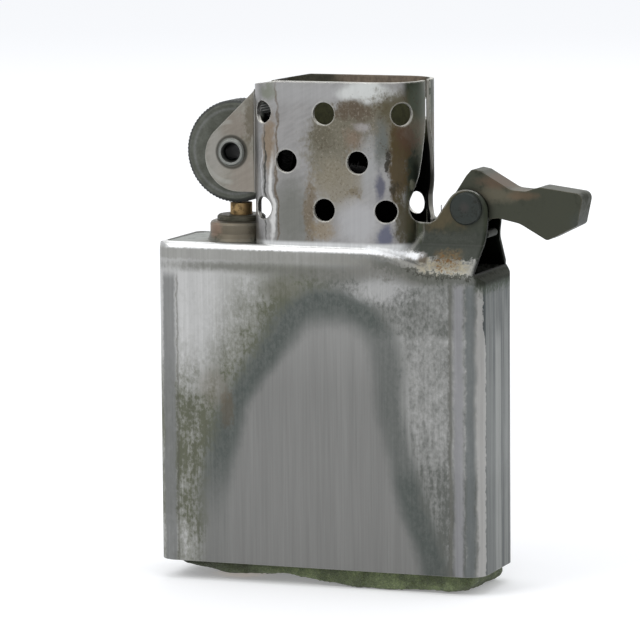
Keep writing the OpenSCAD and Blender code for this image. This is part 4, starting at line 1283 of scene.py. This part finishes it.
    def _chimney(self, ground: Ground) -> tuple[Socket, Socket]:
        """Shades the chimney's and the wheel ears' brushed steel, with its heat colours, a painted
        glare and painted reflections, and its right curve painted dark as shade.

        Args:
            ground: What the finish is written from.

        Returns:
            The colour and the dirt.
        """
        sheet, axes, place, cloud = ground.sheet, ground.axes, ground.place, ground.cloud
        inputs = {"Vector": place, "Angle": self.slant_rad}
        slant = sheet.add("VectorRotate", inputs, rotation_type="Y_AXIS").outputs[0]
        brushed = sheet.noise(sheet.vector("MULTIPLY", slant, (0.5, 1.0, 2.4)), 1.0, 5.0, 0.65)
        base = sheet.tones(sheet.ease(brushed, 0.3, 0.7), self.chimney_grey, self.chimney_pale)
        # The right curve is painted dark, in olive tones, as shade.
        curve = sheet.ease(axes["X"], *self.curve_from)
        curve = sheet.times(curve, sheet.ease(axes["X"], *self.curve_to))
        dark = sheet.tones(sheet.ease(cloud, 0.42, 0.58), self.curve_shade, self.curve_shade_olive)
        base = sheet.mix(sheet.times(curve, 0.95), base, dark)
        inputs = {"Vector": place, "Scale": 0.45, "Detail": 3.0}
        swirl = sheet.add("TexNoise", inputs).outputs["Color"]
        bend = sheet.vector("SUBTRACT", swirl, (0.5, 0.5, 0.5))
        bent = sheet.vector("ADD", place, sheet.vector("MULTIPLY", bend, (1.6, 0.0, 1.6)))
        colour, dirt = lay(replace(ground, place=bent), self.chimney_stains_and_reflections, base, 0.0)
        fine = sheet.noise(slant, 3.4, 5.0, 0.7)
        stained = sheet.ease(dirt, 0.1, 0.4)
        spots = sheet.times(sheet.ease(fine, 0.56, 0.64), stained)
        colour = sheet.paint(sheet.times(spots, 0.6), colour, self.spot_brown)
        spots = sheet.times(sheet.ease(fine, 0.45, 0.37), sheet.ease(axes["X"], 7.4, 6.4))
        spots = sheet.times(spots, stained)
        colour = sheet.paint(sheet.times(spots, 0.45), colour, self.spot_pale)
        # The wheel's ears lie nearer to the middle than the chimney's broad sides.
        side = sheet.ease(sheet.size(axes["Y"]), *self.wheel_ears_y, 1.0, 0.0)
        ears = sheet.times(side, sheet.ease(axes["X"], *self.wheel_ears))
        worn, worn_dirt = self._wheel_ears(ground, brushed)
        colour = sheet.mix(ears, colour, worn)
        kept = sheet.times(dirt, sheet.minus(1.0, ears))
        return colour, sheet.plus(kept, sheet.times(worn_dirt, ears))

    def _wheel_ears(self, ground: Ground, brushed: Socket) -> tuple[Value, Value]:
        """Shades the wheel's ears, dark round the rivet, with a painted highlight along their edge.

        Args:
            ground: What the finish is written from.
            brushed: The chimney's brush lines.

        Returns:
            The colour and the dirt.
        """
        sheet, axes = ground.sheet, ground.axes
        plain = sheet.tones(sheet.ease(brushed, 0.35, 0.65), self.ear_grey, self.ear_pale)
        colour, dirt = lay(ground, self.ear_stains, plain, 0.0)
        away = sheet.away(axes, *ground.effects.axle)
        ring = sheet.times(sheet.between(away, 1.5, 1.8, 0.12), 0.85)
        colour = sheet.paint(ring, colour, self.ear_ring)
        # A painted highlight along the ears' edge.
        rim = sheet.times(sheet.between(away, 2.95, 3.4, 0.12), sheet.ease(axes["X"], -10.0, -10.8))
        return sheet.paint(sheet.times(rim, 0.5), colour, self.ear_edge_highlight), dirt


def placed(name: str, data: bpy.types.ID) -> bpy.types.Object:
    """Puts a new object in the scene.

    Args:
        name: Its name.
        data: The mesh, lamp or camera that it shows.

    Returns:
        The object.
    """
    thing = bpy.data.objects.new(name, data)
    bpy.context.scene.collection.objects.link(thing)
    return thing


def shaped(name: str, shape: bmesh.types.BMesh) -> bpy.types.Object:
    """Makes a piece of a shape.

    Args:
        name: The piece's name.
        shape: The shape, which is freed.

    Returns:
        The piece.
    """
    mesh = bpy.data.meshes.new(name)
    shape.to_mesh(mesh)
    shape.free()
    return placed(name, mesh)


def skin(shape: bmesh.types.BMesh, rings: list[Ring]) -> None:
    """Joins each ring of corners to the next with faces.

    Args:
        shape: The shape that the corners are in.
        rings: The rings, all with as many corners.
    """
    for one, two in zip(rings, rings[1:]):
        for k, corner in enumerate(one):
            n = (k + 1) % len(one)
            shape.faces.new((corner, two[k], two[n], one[n]))


def sculpt(piece: bpy.types.Object, move: Callable[[Vector, Vector], Vector]) -> None:
    """Moves each point of a piece's mesh.

    Args:
        piece: The piece.
        move: Gives a point's new place, in mm, from its place and its normal.
    """
    mesh = piece.data
    places = [move(v.co / MM, v.normal) * MM for v in mesh.vertices]
    for vertex, place in zip(mesh.vertices, places):
        vertex.co = place
    mesh.update()


def smooth_shaded(piece: bpy.types.Object) -> None:
    """Shades every face of a piece smooth."""
    piece.data.polygons.foreach_set("use_smooth", [True] * len(piece.data.polygons))


def remeshed(
    name: str, shape: bmesh.types.BMesh, voxel_mm: float, rounds: int
) -> bpy.types.Object:
    """One even closed mesh round a shape, its edges softened.

    Args:
        name: The piece's name.
        shape: The shape, which is freed.
        voxel_mm: Size of the new mesh's faces.
        rounds: How often the new mesh is smoothed.

    Returns:
        The piece.
    """
    piece = shaped(name, shape)
    voxels = piece.modifiers.new("voxels", "REMESH")
    voxels.mode, voxels.voxel_size = "VOXEL", voxel_mm * MM
    soften = piece.modifiers.new("soften", "SMOOTH")
    soften.iterations, soften.factor = rounds, 0.5
    graph = bpy.context.evaluated_depsgraph_get()
    mesh = bpy.data.meshes.new_from_object(piece.evaluated_get(graph))
    piece.modifiers.clear()
    piece.data = mesh
    smooth_shaded(piece)
    return piece


class Unit:
    """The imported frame, and what is needed to dress it."""

    def __init__(self, frame: dict[str, Any]) -> None:
        """Keeps the frame's nodes and joints, and builds the shared groups.

        Args:
            frame: What the frame's load call gives.
        """
        self.nodes = frame["nodes"]
        self.joints = {joint["name"]: joint for joint in frame["joints"]}
        x, _, z = self.pivot("wheel_spin")
        self.effects = Effects((x, z))

    def pivot(self, joint: str) -> Point:
        """A place on the axis that a joint turns about, in mm."""
        x, y, z = self.joints[joint]["pos_m"]
        return x / MM, y / MM, z / MM

    def dress(self, node: str, material: bpy.types.Material) -> None:
        """Gives a CAD node its material.

        Args:
            node: The node's name.
            material: What it is made of.
        """
        slots = self.nodes[node].data.materials
        slots.clear()
        slots.append(material)
        LOG.info("dressed %s with %s", node, material.name)

    def seat(self, piece: bpy.types.Object, body: str, slot: str, *nodes: str) -> None:
        """Puts a new piece on a body, in place of CAD nodes."""
        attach(piece, body)
        self.stand_for(piece, slot, *nodes)

    def stand_for(self, piece: bpy.types.Object, slot: str, *nodes: str) -> None:
        """Puts a new piece in place of CAD nodes.

        Args:
            piece: The piece.
            slot: Not used.
            nodes: The nodes that it replaces.
        """
        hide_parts(*nodes)
        LOG.info("built %s for %s", piece.name, ", ".join(nodes))

    def copy_of(self, *nodes: str) -> bmesh.types.BMesh:
        """Copies the shapes of CAD nodes.

        Args:
            nodes: The nodes.

        Returns:
            Their shapes in one mesh.
        """
        shape = bmesh.new()
        for node in nodes:
            shape.from_mesh(self.nodes[node].data)
        return shape


@dataclass
class Felt:
    """The felt under the case, one piece that is joined at the fold where its loose end lifts.

    The lower edge is worn: it is given as places along X, with the felt's height off the
    floor at each. What is over the fold's gap is drawn across it, so that both parts join.
    """

    unit: Unit
    finish: Cloth = Cloth(
        "felt", (128, 141, 96), (94, 104, 68), density=5.5, bump=0.8, soiled_and_shaded=(-15.0, 2.5)
    )
    fold_reach: float = 0.17
    overlap: float = 1.5
    bend: float = 2.6
    voxel: float = 0.26
    smoothing: int = 3
    wave: float = 0.14
    wave_density: float = 0.35
    wave_shift: Point = (3.0, 0.0, 0.0)
    fuzz: float = 0.09
    fuzz_density: float = 2.6
    fuzz_middle: float = 0.55
    sink: float = 0.06
    lift_middle: float = 0.55
    lift_lean: float = 0.5
    lower_edge: tuple[Span, ...] = (
        (-17.4, 1.55), (-14.8, 1.2), (-12.75, 1.08), (-10.5, 0.73), (-8.2, 0.71), (-4.35, 0.99),
        (-1.9, 0.66), (1.0, 0.33), (4.0, 0.0), (8.3, 0.0), (13.9, 0.15), (16.0, 0.37), (17.4, 0.6),
    )

    def build(self) -> bpy.types.Object:
        """Joins pad and flap and roughens them.

        Returns:
            The piece.
        """
        fold, _, _ = self.unit.pivot("felt_lift")
        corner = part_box("felt_pad")[1] / MM
        shape = self.unit.copy_of("felt_pad", "felt_flap")
        for vertex in shape.verts:
            x = vertex.co.x / MM - fold
            if abs(x) < self.fold_reach:
                vertex.co.x -= self.overlap * x * MM
        felt = remeshed("felt", shape, self.voxel, self.smoothing)
        sculpt(felt, lambda place, normal: self._drape(place, normal, corner))
        felt.data.materials.append(self.finish.build(self.unit.effects))
        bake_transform(felt)
        self.unit.stand_for(felt, "felt", "felt_pad", "felt_flap")
        return felt

    def _edge(self, x: float) -> float:
        """Follows the felt's lower front edge.

        Args:
            x: A place along it.

        Returns:
            Its height off the floor there.
        """
        for (x0, z0), (x1, z1) in zip(self.lower_edge, self.lower_edge[1:]):
            if x <= x1:
                t = max(0.0, (x - x0) / (x1 - x0))
                return z0 + (z1 - z0) * t * t * (3 - 2 * t)
        return self.lower_edge[-1][1]

    def _drape(self, place: Vector, normal: Vector, corner: Vector) -> Vector:
        """Lifts the worn lower edge, most at the front, and roughens the surface.

        Args:
            place: A point of the felt.
            normal: The surface's direction there.
            corner: The felt's upper back corner.

        Returns:
            Where the point goes.
        """
        front = self.lift_middle - self.lift_lean * place.y / corner.y
        front = min(1.0, max(0.0, front))
        share = max(0.0, 1.0 - place.z / corner.z)
        lift = self._edge(place.x) * front * share
        wave = noise.noise(place * self.wave_density + Vector(self.wave_shift)) * self.wave
        tuft = noise.turbulence(place * self.fuzz_density, 3, False) - self.fuzz_middle
        moved = place + normal * (wave + tuft * self.fuzz - self.sink)
        moved.z = max(0.0, moved.z + lift)
        return moved


@dataclass
class Wadding:
    """The loose cotton that fills the case, six pads between the runs of the wick."""

    unit: Unit
    finish: Cloth = Cloth("wadding", (228, 224, 212), (200, 194, 178), density=3.0)
    pads: int = 6
    voxel: float = 0.5
    smoothing: int = 6
    slack: float = 0.08
    puff: float = 0.16
    puff_middle: float = 0.6
    tuft_density: float = 0.9
    shift: float = 7.0

    def build(self) -> None:
        """All the pads, each teased in its own way."""
        material = self.finish.build(self.unit.effects)
        for number in range(1, self.pads + 1):
            node = f"packing_{number}"
            shape = self.unit.copy_of(node)
            pad = remeshed(f"wadding_{number}", shape, self.voxel, self.smoothing)
            shift = Vector((self.shift * number, 0.0, 0.0))
            sculpt(pad, lambda place, normal: self._tease(place, normal, shift))
            pad.data.materials.append(material)
            self.unit.seat(pad, "case", "packing", node)

    def _tease(self, place: Vector, normal: Vector, shift: Vector) -> Vector:
        """Pulls the surface about as tufts do."""
        tuft = noise.turbulence(place * self.tuft_density + shift, 3, False)
        return place + normal * (tuft * self.puff - self.slack - self.puff * self.puff_middle)


@dataclass
class Wick:
    """The braided cotton wick, from its charred end down through the packing.

    It runs to and fro in the case, one pitch below the last run each time, and the yarns
    of its burnt end stand apart.
    """

    unit: Unit
    finish: Cloth = Cloth(
        "wick_cotton", (186, 172, 146), (146, 130, 104), density=4.0, sheen=0.05, char_z=41.4
    )
    radius: float = 1.6
    slack: float = 0.02
    top: float = 44.4
    x: float = 1.95
    bend_r: float = 2.5
    left: float = -3.5
    right: float = 12.6
    low: float = 7.9
    pitch: float = 6.5
    runs: int = 4
    sides: int = 32
    step: float = 0.22
    strands: int = 8
    lay_mm: float = 5.5
    relief: float = 0.1
    strand_power: float = 0.6
    dome: float = 0.25
    # How far below the top the braid ends and the loose yarns start.
    braid_end: float = 0.7
    yarn_foot: float = 1.4
    ends: int = 16
    yarn_spread: float = 0.8
    yarn_taper: float = 0.75
    yarn_beat: float = 3.7
    yarn_r: float = 0.2
    yarn_sides: int = 6
    yarn_steps: int = 5
    yarn_turn: float = 2.4
    yarn_tall: float = 1.1
    yarn_uneven: float = 0.28
    yarn_lean: float = 0.25

    def build(self) -> bpy.types.Object:
        """Braids the wick, frays its end and seats it.

        Returns:
            The piece.
        """
        shape = bmesh.new()
        self._braid(shape, self._route())
        for number in range(self.ends):
            self._yarn_end(shape, number)
        wick = shaped("braided_wick", shape)
        smooth_shaded(wick)
        wick.data.materials.append(self.finish.build(self.unit.effects))
        self.unit.seat(wick, "case", "wick", "wick")
        return wick

    def _route(self) -> list[Point]:
        """Follows the wick's middle from the top down.

        Returns:
            Points on it, one step apart.
        """
        high = self.low + (self.runs - 1) * self.pitch
        foot = high + self.bend_r
        begin = self.x + self.bend_r
        route = self._straight((self.x, 0.0, self.top - self.braid_end), (self.x, 0.0, foot))
        route += self._turn((begin, 0.0, foot), self.bend_r, 180.0, 90.0)
        for run in range(self.runs):
            z = high - run * self.pitch
            rightward = run % 2 == 0
            end = self.right if rightward else self.left
            route += self._straight((begin, 0.0, z), (end, 0.0, z))
            if run < self.runs - 1:
                middle = (end, 0.0, z - self.pitch / 2)
                route += self._turn(middle, self.pitch / 2, 90.0, -180.0 if rightward else 180.0)
            begin = end
        route.append((begin, 0.0, self.low))
        return route

    def _straight(self, start: Point, end: Point) -> list[Point]:
        """Follows a straight run.

        Args:
            start: Where it starts.
            end: Where it ends.

        Returns:
            Points on it, without the last one.
        """
        count = max(2, round(math.dist(start, end) / self.step))
        pairs = list(zip(start, end))
        return [tuple(a + (b - a) * i / count for a, b in pairs) for i in range(count)]

    def _turn(self, middle: Point, radius: float, start: float, sweep: float) -> list[Point]:
        """Follows a round bend in the upright plane.

        Args:
            middle: The bend's middle.
            radius: Its radius.
            start: The angle where it starts, in degrees from X.
            sweep: How far it turns, in degrees.

        Returns:
            Points on it, without the last one.
        """
        count = round(abs(math.radians(sweep)) * radius / self.step)
        angles = [math.radians(start + sweep * i / count) for i in range(count)]
        x, y, z = middle
        return [(x + radius * math.cos(a), y, z + radius * math.sin(a)) for a in angles]

    def _braid(self, shape: bmesh.types.BMesh, route: list[Point]) -> None:
        """Sweeps a braided skin along the route and closes its ends.

        Args:
            shape: The shape that it becomes part of.
            route: Points on the wick's middle.
        """
        rings = []
        for i, place in enumerate(route):
            before, after = route[max(0, i - 1)], route[min(len(route) - 1, i + 1)]
            along = (Vector(after) - Vector(before)).normalized()
            up = along.cross(Vector((0.0, 1.0, 0.0)))
            ring = []
            for k in range(self.sides):
                a = math.tau * k / self.sides
                out = Vector((0.0, math.cos(a), 0.0)) + up * math.sin(a)
                corner = Vector(place) + out * self._bulge(a, i * self.step)
                ring.append(shape.verts.new(corner * MM))
            rings.append(ring)
        skin(shape, rings)
        self._cap(shape, rings[0], self.dome)
        self._cap(shape, rings[-1][::-1], 0.0)

    @staticmethod
    def _cap(shape: bmesh.types.BMesh, ring: Ring, dome: float) -> None:
        """Closes an end with a fan of faces.

        Args:
            shape: The shape that it is part of.
            ring: The end's corners, in the order of the new faces.
            dome: How far the fan's middle stands up.
        """
        middle = sum((v.co for v in ring), Vector()) / len(ring)
        centre = shape.verts.new(middle + Vector((0.0, 0.0, dome * MM)))
        for k, corner in enumerate(ring):
            shape.faces.new((centre, corner, ring[(k + 1) % len(ring)]))

    def _bulge(self, angle: float, along: float) -> float:
        """Lets the strands pass over and under each other.

        Args:
            angle: A place round the braid.
            along: The place along it.

        Returns:
            The braid's radius there.
        """
        turns = along / self.lay_mm
        one = math.sin(self.strands * (angle / 2) + math.pi * self.strands * turns / 4)
        two = math.sin(self.strands * (angle / 2) - math.pi * self.strands * turns / 4)
        over = max(abs(one), abs(two)) ** self.strand_power
        return self.radius * (1.0 - self.relief + self.relief * over) - self.slack

    def _yarn_end(self, shape: bmesh.types.BMesh, number: int) -> None:
        """Stands one loose yarn out of the burnt end.

        Args:
            shape: The shape that it becomes part of.
            number: Which of the yarns it is, from the middle outward.
        """
        turn = number * self.yarn_turn
        aside = Vector((math.cos(turn), math.sin(turn), 0.0))
        spread = self.radius * self.yarn_spread * math.sqrt((number + 0.5) / self.ends)
        foot = Vector((self.x, 0.0, self.top - self.yarn_foot)) + aside * spread
        tall = self.yarn_tall + self.yarn_uneven * math.sin(number * self.yarn_beat)
        corners = [math.tau * k / self.yarn_sides for k in range(self.yarn_sides)]
        rings = []
        for i in range(self.yarn_steps + 1):
            t = i / self.yarn_steps
            centre = foot + aside * (self.yarn_lean * t * t) + Vector((0.0, 0.0, tall * t))
            r = self.yarn_r * (1.0 - self.yarn_taper * t * t)
            round_it = [Vector((r * math.cos(a), r * math.sin(a), 0.0)) for a in corners]
            rings.append([shape.verts.new((centre + out) * MM) for out in round_it])
        skin(shape, rings[::-1])
        shape.faces.new(rings[0][::-1])
        shape.faces.new(rings[-1])


@dataclass
class FlintCoil:
    """The wire spring that pushes the flint, with closed ends."""

    unit: Unit
    finish: Metal = Metal(
        "spring_wire", (150, 150, 148), (110, 108, 100), (200, 200, 198), grain=(2.0, 2.0, 2.0)
    )
    wire: float = 0.18
    turns: int = 16
    per_turn: int = 36
    sides: int = 12
    keep: float = 0.9297

    def build(self) -> bpy.types.Object:
        """Winds the wire and seats the coil on the screw.

        Returns:
            The piece.
        """
        x, _ = self.unit.effects.axle
        fixed = self.unit.joints["flint_feed"]["deforming_nodes"][0]["fixed_end_z_m"] / MM
        low, high = (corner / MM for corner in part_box("flint_spring"))
        foot = fixed + self.wire
        # The CAD's flat-sided wire falls as far short of the round one's head as of its foot.
        head = high.z + (low.z - fixed) - self.wire
        steps = self.turns * self.per_turn
        shape = bmesh.new()
        rings = []
        for number in range(steps + 1):
            middle = Vector((x, 0.0, foot + (head - foot) * number / steps))
            turn = math.tau * number / self.per_turn
            rings.append(self._ring(shape, middle, turn, high.y - self.wire))
        skin(shape, rings)
        shape.faces.new(rings[0])
        shape.faces.new(rings[-1][::-1])
        bmesh.ops.recalc_face_normals(shape, faces=shape.faces)
        coil = shaped("flint_coil", shape)
        smooth_shaded(coil)
        coil.data.materials.append(self.finish.build(self.unit.effects))
        self.unit.seat(coil, "screw", "spring", "flint_spring")
        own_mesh(coil)
        return coil

    def _ring(
        self, shape: bmesh.types.BMesh, middle: Vector, turn: float, radius: float
    ) -> Ring:
        """Makes the corners round the wire at one place along it.

        Args:
            shape: The shape that they become part of.
            middle: The middle of the coil there.
            turn: The wire's direction from there, as an angle from X.
            radius: How far it is from there.

        Returns:
            The corners.
        """
        out = Vector((math.cos(turn), math.sin(turn), 0.0))
        centre = middle + out * radius
        ring = []
        for k in range(self.sides):
            a = math.tau * k / self.sides
            rise = Vector((0.0, 0.0, math.sin(a) * self.wire))
            ring.append(shape.verts.new((centre + out * math.cos(a) * self.wire + rise) * MM))
        return ring


@dataclass
class Hardware:
    """The rigid nodes and their finishes."""

    unit: Unit
    shell: ShellSteel = ShellSteel()
    wheel: WheelSteel = WheelSteel()
    plate: Metal = Metal(
        "plate_steel", (102, 105, 100), (84, 84, 73), (138, 138, 132), rough=0.45,
        patches=(
            Patch(-16.0, 35.9, 2.6, 3.0, (126, 130, 127), 0.8, 0.6, 1.5),
            Patch(-10.4, 36.9, 3.6, 1.3, (110, 102, 88), 0.85, 0.4, 2.5, 0.4),
            Patch(-12.4, 37.0, 0.9, 0.8, (150, 128, 112), 0.7, 0.5, 2.5, 0.2),
        ),
    )
    tube: Metal = Metal(
        "tube_steel", (76, 74, 63), (54, 53, 43), (120, 110, 96),
        rough=0.5, stained=0.7, metallic=0.7, edge_wear=0.5,
    )
    eyelet: Metal = Metal(
        "eyelet_steel", (122, 124, 120), (88, 88, 80), (180, 181, 177),
        rough=0.4, stained=0.1, edge_wear=0.7, bore_mm=0.83,
    )
    slate: Metal = Metal(
        "slate_steel", (46, 51, 48), (42, 44, 39), (82, 86, 82),
        rough=0.55, stained=0.5, metallic=0.6, edge_wear=0.5,
        patches=(Patch(15.4, 40.1, 0.45, 0.45, (68, 60, 58), 0.4, 0.7, 1.5),),
    )
    leaf: Metal = Metal(
        "leaf_steel", (42, 46, 38), (34, 37, 30), (70, 72, 64), rough=0.6, metallic=0.6
    )
    cam: Metal = Metal(
        "cam_iron", (59, 61, 50), (52, 54, 44), (110, 104, 88),
        rough=0.55, stained=0.4, metallic=0.6, grain=(1.2, 1.2, 1.2), contrast=0.15,
        mottle=0.3, bump=0.1, bevel_mm=0.14, edge_wear=0.6,
        patches=(
            Patch(18.2, 41.4, 2.4, 0.8, (104, 98, 82), 0.6, 0.6, 2.5, 0.3),
            Patch(19.0, 42.8, 2.4, 0.7, (98, 78, 62), 0.6, 0.6, 3.0, 0.3),
            Patch(21.4, 41.4, 1.4, 0.4, (104, 84, 64), 0.5, 0.6, 3.0, 0.3),
            Patch(27.6, 38.2, 1.0, 1.6, (64, 70, 67), 0.6, 0.6, 1.5),
        ),
    )
    flint: Metal = Metal("flint_alloy", (168, 142, 100), (96, 80, 56), (180, 156, 120), rough=0.6)
    brass: Metal = Metal("brass", (190, 156, 92), (136, 106, 62), (224, 198, 140), rough=0.3)

    def build(self) -> None:
        """Dresses them all."""
        for finish, nodes in (
            (self.shell, ("case_shell",)),
            (self.plate, ("top_plate",)),
            (self.tube, ("flint_tube", "spring_rivet")),
            (self.eyelet, ("wheel_rivet",)),
            (self.slate, ("cam_rivet",)),
            (self.leaf, ("cam_spring",)),
            (self.cam, ("cam_lever",)),
            (self.wheel, ("flint_wheel",)),
            (self.flint, ("flint",)),
            (self.brass, ("spring_tip", "flint_screw")),
        ):
            material = finish.build(self.unit.effects)
            for node in nodes:
                self.unit.dress(node, material)


@dataclass
class PhotoCamera:
    """The camera that the photograph was taken with, fitted to the object's edges."""

    place_mm: Point = (160.9, -427.9, 87.4)
    target_mm: Point = (-1.63, 0.0, 27.46)
    roll_deg: float = -0.46
    focal_px: float = 4389.0
    frame_px: float = 640.0
    sensor_mm: float = 36.0
    clip_m: Span = (0.01, 10.0)

    def build(self) -> None:
        """Makes it the scene's camera."""
        data = bpy.data.cameras.new("photo_camera")
        data.sensor_width = self.sensor_mm
        data.lens = self.focal_px / self.frame_px * self.sensor_mm
        data.clip_start, data.clip_end = self.clip_m
        place, target = Vector(self.place_mm) * MM, Vector(self.target_mm) * MM
        forward = (target - place).normalized()
        right = forward.cross(Vector((0, 0, 1))).normalized()
        up = right.cross(forward)
        roll = math.radians(self.roll_deg)
        tilted = right * math.cos(roll) + up * math.sin(roll)
        upright = up * math.cos(roll) - right * math.sin(roll)
        turn = Matrix((tilted, upright, -forward)).transposed()
        camera = placed("photo_camera", data)
        camera.matrix_world = Matrix.Translation(place) @ turn.to_4x4()
        bpy.context.scene.camera = camera


@dataclass(frozen=True)
class Card:
    """A plain card that only the metal's reflections see, with its sizes in metres."""

    name: str
    middle: Point
    wide: float
    high: float
    grey: float


@dataclass(frozen=True)
class Lamp:
    """A square soft lamp, with its sizes in metres."""

    name: str
    place: Point
    size: float
    watts: float


@dataclass
class Studio:
    """Pale floor, white surroundings, soft lamps and grey cards."""

    floor_m: float = 3.0
    floor_below_m: float = 0.00002
    floor_grey: float = 0.82
    floor_lift: float = 0.25
    aim: Point = (0.0, 0.0, 0.03)
    soft_light: float = 0.85
    soft_tint: Point = (0.94, 0.96, 1.0)
    lamps: tuple[Lamp, ...] = (
        Lamp("key_lamp", (-0.35, -0.45, 0.55), 0.35, 1.4),
        Lamp("top_lamp", (0.15, -0.1, 0.7), 0.4, 0.6),
        Lamp("back_lamp", (-0.1, 0.5, 0.45), 0.4, 0.6),
    )
    cards: tuple[Card, ...] = (
        Card("right_card", (0.55, 0.12, 0.1), 0.75, 0.6, 0.07),
        Card("left_strip", (-0.5, -0.02, 0.1), 0.09, 0.5, 0.12),
    )

    def build(self) -> None:
        """Makes the world, the floor, the lamps and the cards."""
        scene = bpy.context.scene
        scene.view_settings.view_transform = "Standard"
        world = bpy.data.worlds.new("studio")
        world.use_nodes = True
        scene.world = world
        sheet = Sheet(world.node_tree)
        seen = self._seen(sheet)
        soft = {"Color": (*self.soft_tint, 1.0), "Strength": self.soft_light}
        soft = sheet.add("Background", soft)
        white = sheet.add("Background", {"Color": self._plain(1.0), "Strength": 1.0})
        both = sheet.add("MixShader", {0: seen, 1: soft.outputs[0], 2: white.outputs[0]})
        sheet.add("OutputWorld", {"Surface": both.outputs[0]})
        self._floor()
        for lamp in self.lamps:
            self._lamp(lamp)
        for card in self.cards:
            self._card(card)

    @staticmethod
    def _plain(grey: float) -> tuple[float, float, float, float]:
        """A colour with no hue."""
        return grey, grey, grey, 1.0

    @staticmethod
    def _seen(sheet: Sheet) -> Socket:
        """Tells the rays that show the background itself from those that light the object.

        Args:
            sheet: The sheet to write on.

        Returns:
            1 for the camera, for reflections and for what is seen through glass.
        """
        rays = sheet.add("LightPath").outputs
        mirrored = sheet.most(rays["Is Glossy Ray"], rays["Is Transmission Ray"])
        return sheet.most(rays["Is Camera Ray"], mirrored)

    def _floor(self) -> None:
        """A plain white floor that keeps the object's shadow, and is clear from below."""
        half = self.floor_m / 2
        corners = [(-half, -half, 0), (half, -half, 0), (half, half, 0), (-half, half, 0)]
        floor = self._panel("floor", corners)
        floor.location.z = -self.floor_below_m
        material, sheet = new_material("floor")
        matt = sheet.add("BsdfDiffuse", {"Color": self._plain(self.floor_grey)})
        glow = sheet.times(self._seen(sheet), self.floor_lift)
        lift = sheet.add("Emission", {"Color": self._plain(1.0), "Strength": glow})
        both = sheet.add("AddShader", {0: matt.outputs[0], 1: lift.outputs[0]})
        under = sheet.add("NewGeometry").outputs["Backfacing"]
        clear = sheet.add("BsdfTransparent")
        shader = sheet.add("MixShader", {0: under, 1: both.outputs[0], 2: clear.outputs[0]})
        sheet.add("OutputMaterial", {"Surface": shader.outputs[0]})
        floor.data.materials.append(material)

    def _card(self, card: Card) -> None:
        """Makes one card, upright and facing the object.

        Args:
            card: What it is like.
        """
        w, h = card.wide / 2, card.high / 2
        panel = self._panel(card.name, [(-w, 0, -h), (w, 0, -h), (w, 0, h), (-w, 0, h)])
        panel.location = card.middle
        panel.rotation_euler.z = math.atan2(card.middle[1], card.middle[0]) + math.pi / 2
        panel.visible_camera = panel.visible_diffuse = panel.visible_shadow = False
        material, sheet = new_material(card.name)
        glow = sheet.add("Emission", {"Color": self._plain(card.grey), "Strength": 1.0})
        sheet.add("OutputMaterial", {"Surface": glow.outputs[0]})
        panel.data.materials.append(material)

    @staticmethod
    def _panel(name: str, corners: list[Point]) -> bpy.types.Object:
        """Makes a flat piece of the studio.

        Args:
            name: Its name.
            corners: Its four corners.

        Returns:
            The piece.
        """
        mesh = bpy.data.meshes.new(name)
        mesh.from_pydata([Vector(c) for c in corners], [], [(0, 1, 2, 3)])
        panel = placed(name, mesh)
        return panel

    def _lamp(self, lamp: Lamp) -> None:
        """Makes one lamp, facing the object.

        Args:
            lamp: What it is like.
        """
        data = bpy.data.lights.new(lamp.name, "AREA")
        data.size, data.energy = lamp.size, lamp.watts
        light = placed(lamp.name, data)
        light.location = lamp.place
        facing = Vector(self.aim) - Vector(lamp.place)
        light.rotation_euler = facing.to_track_quat("-Z", "Y").to_euler()


def main() -> None:
    """Builds the camera, the studio and the dressed unit in order."""
    logging.basicConfig(level=logging.INFO, format="%(name)s: %(message)s")
    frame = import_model()
    PhotoCamera().build()
    Studio().build()
    unit = Unit(frame)
    Hardware(unit).build()
    Felt(unit).build()
    Wadding(unit).build()
    Wick(unit).build()
    FlintCoil(unit).build()


if __name__ == "__main__":
    main()
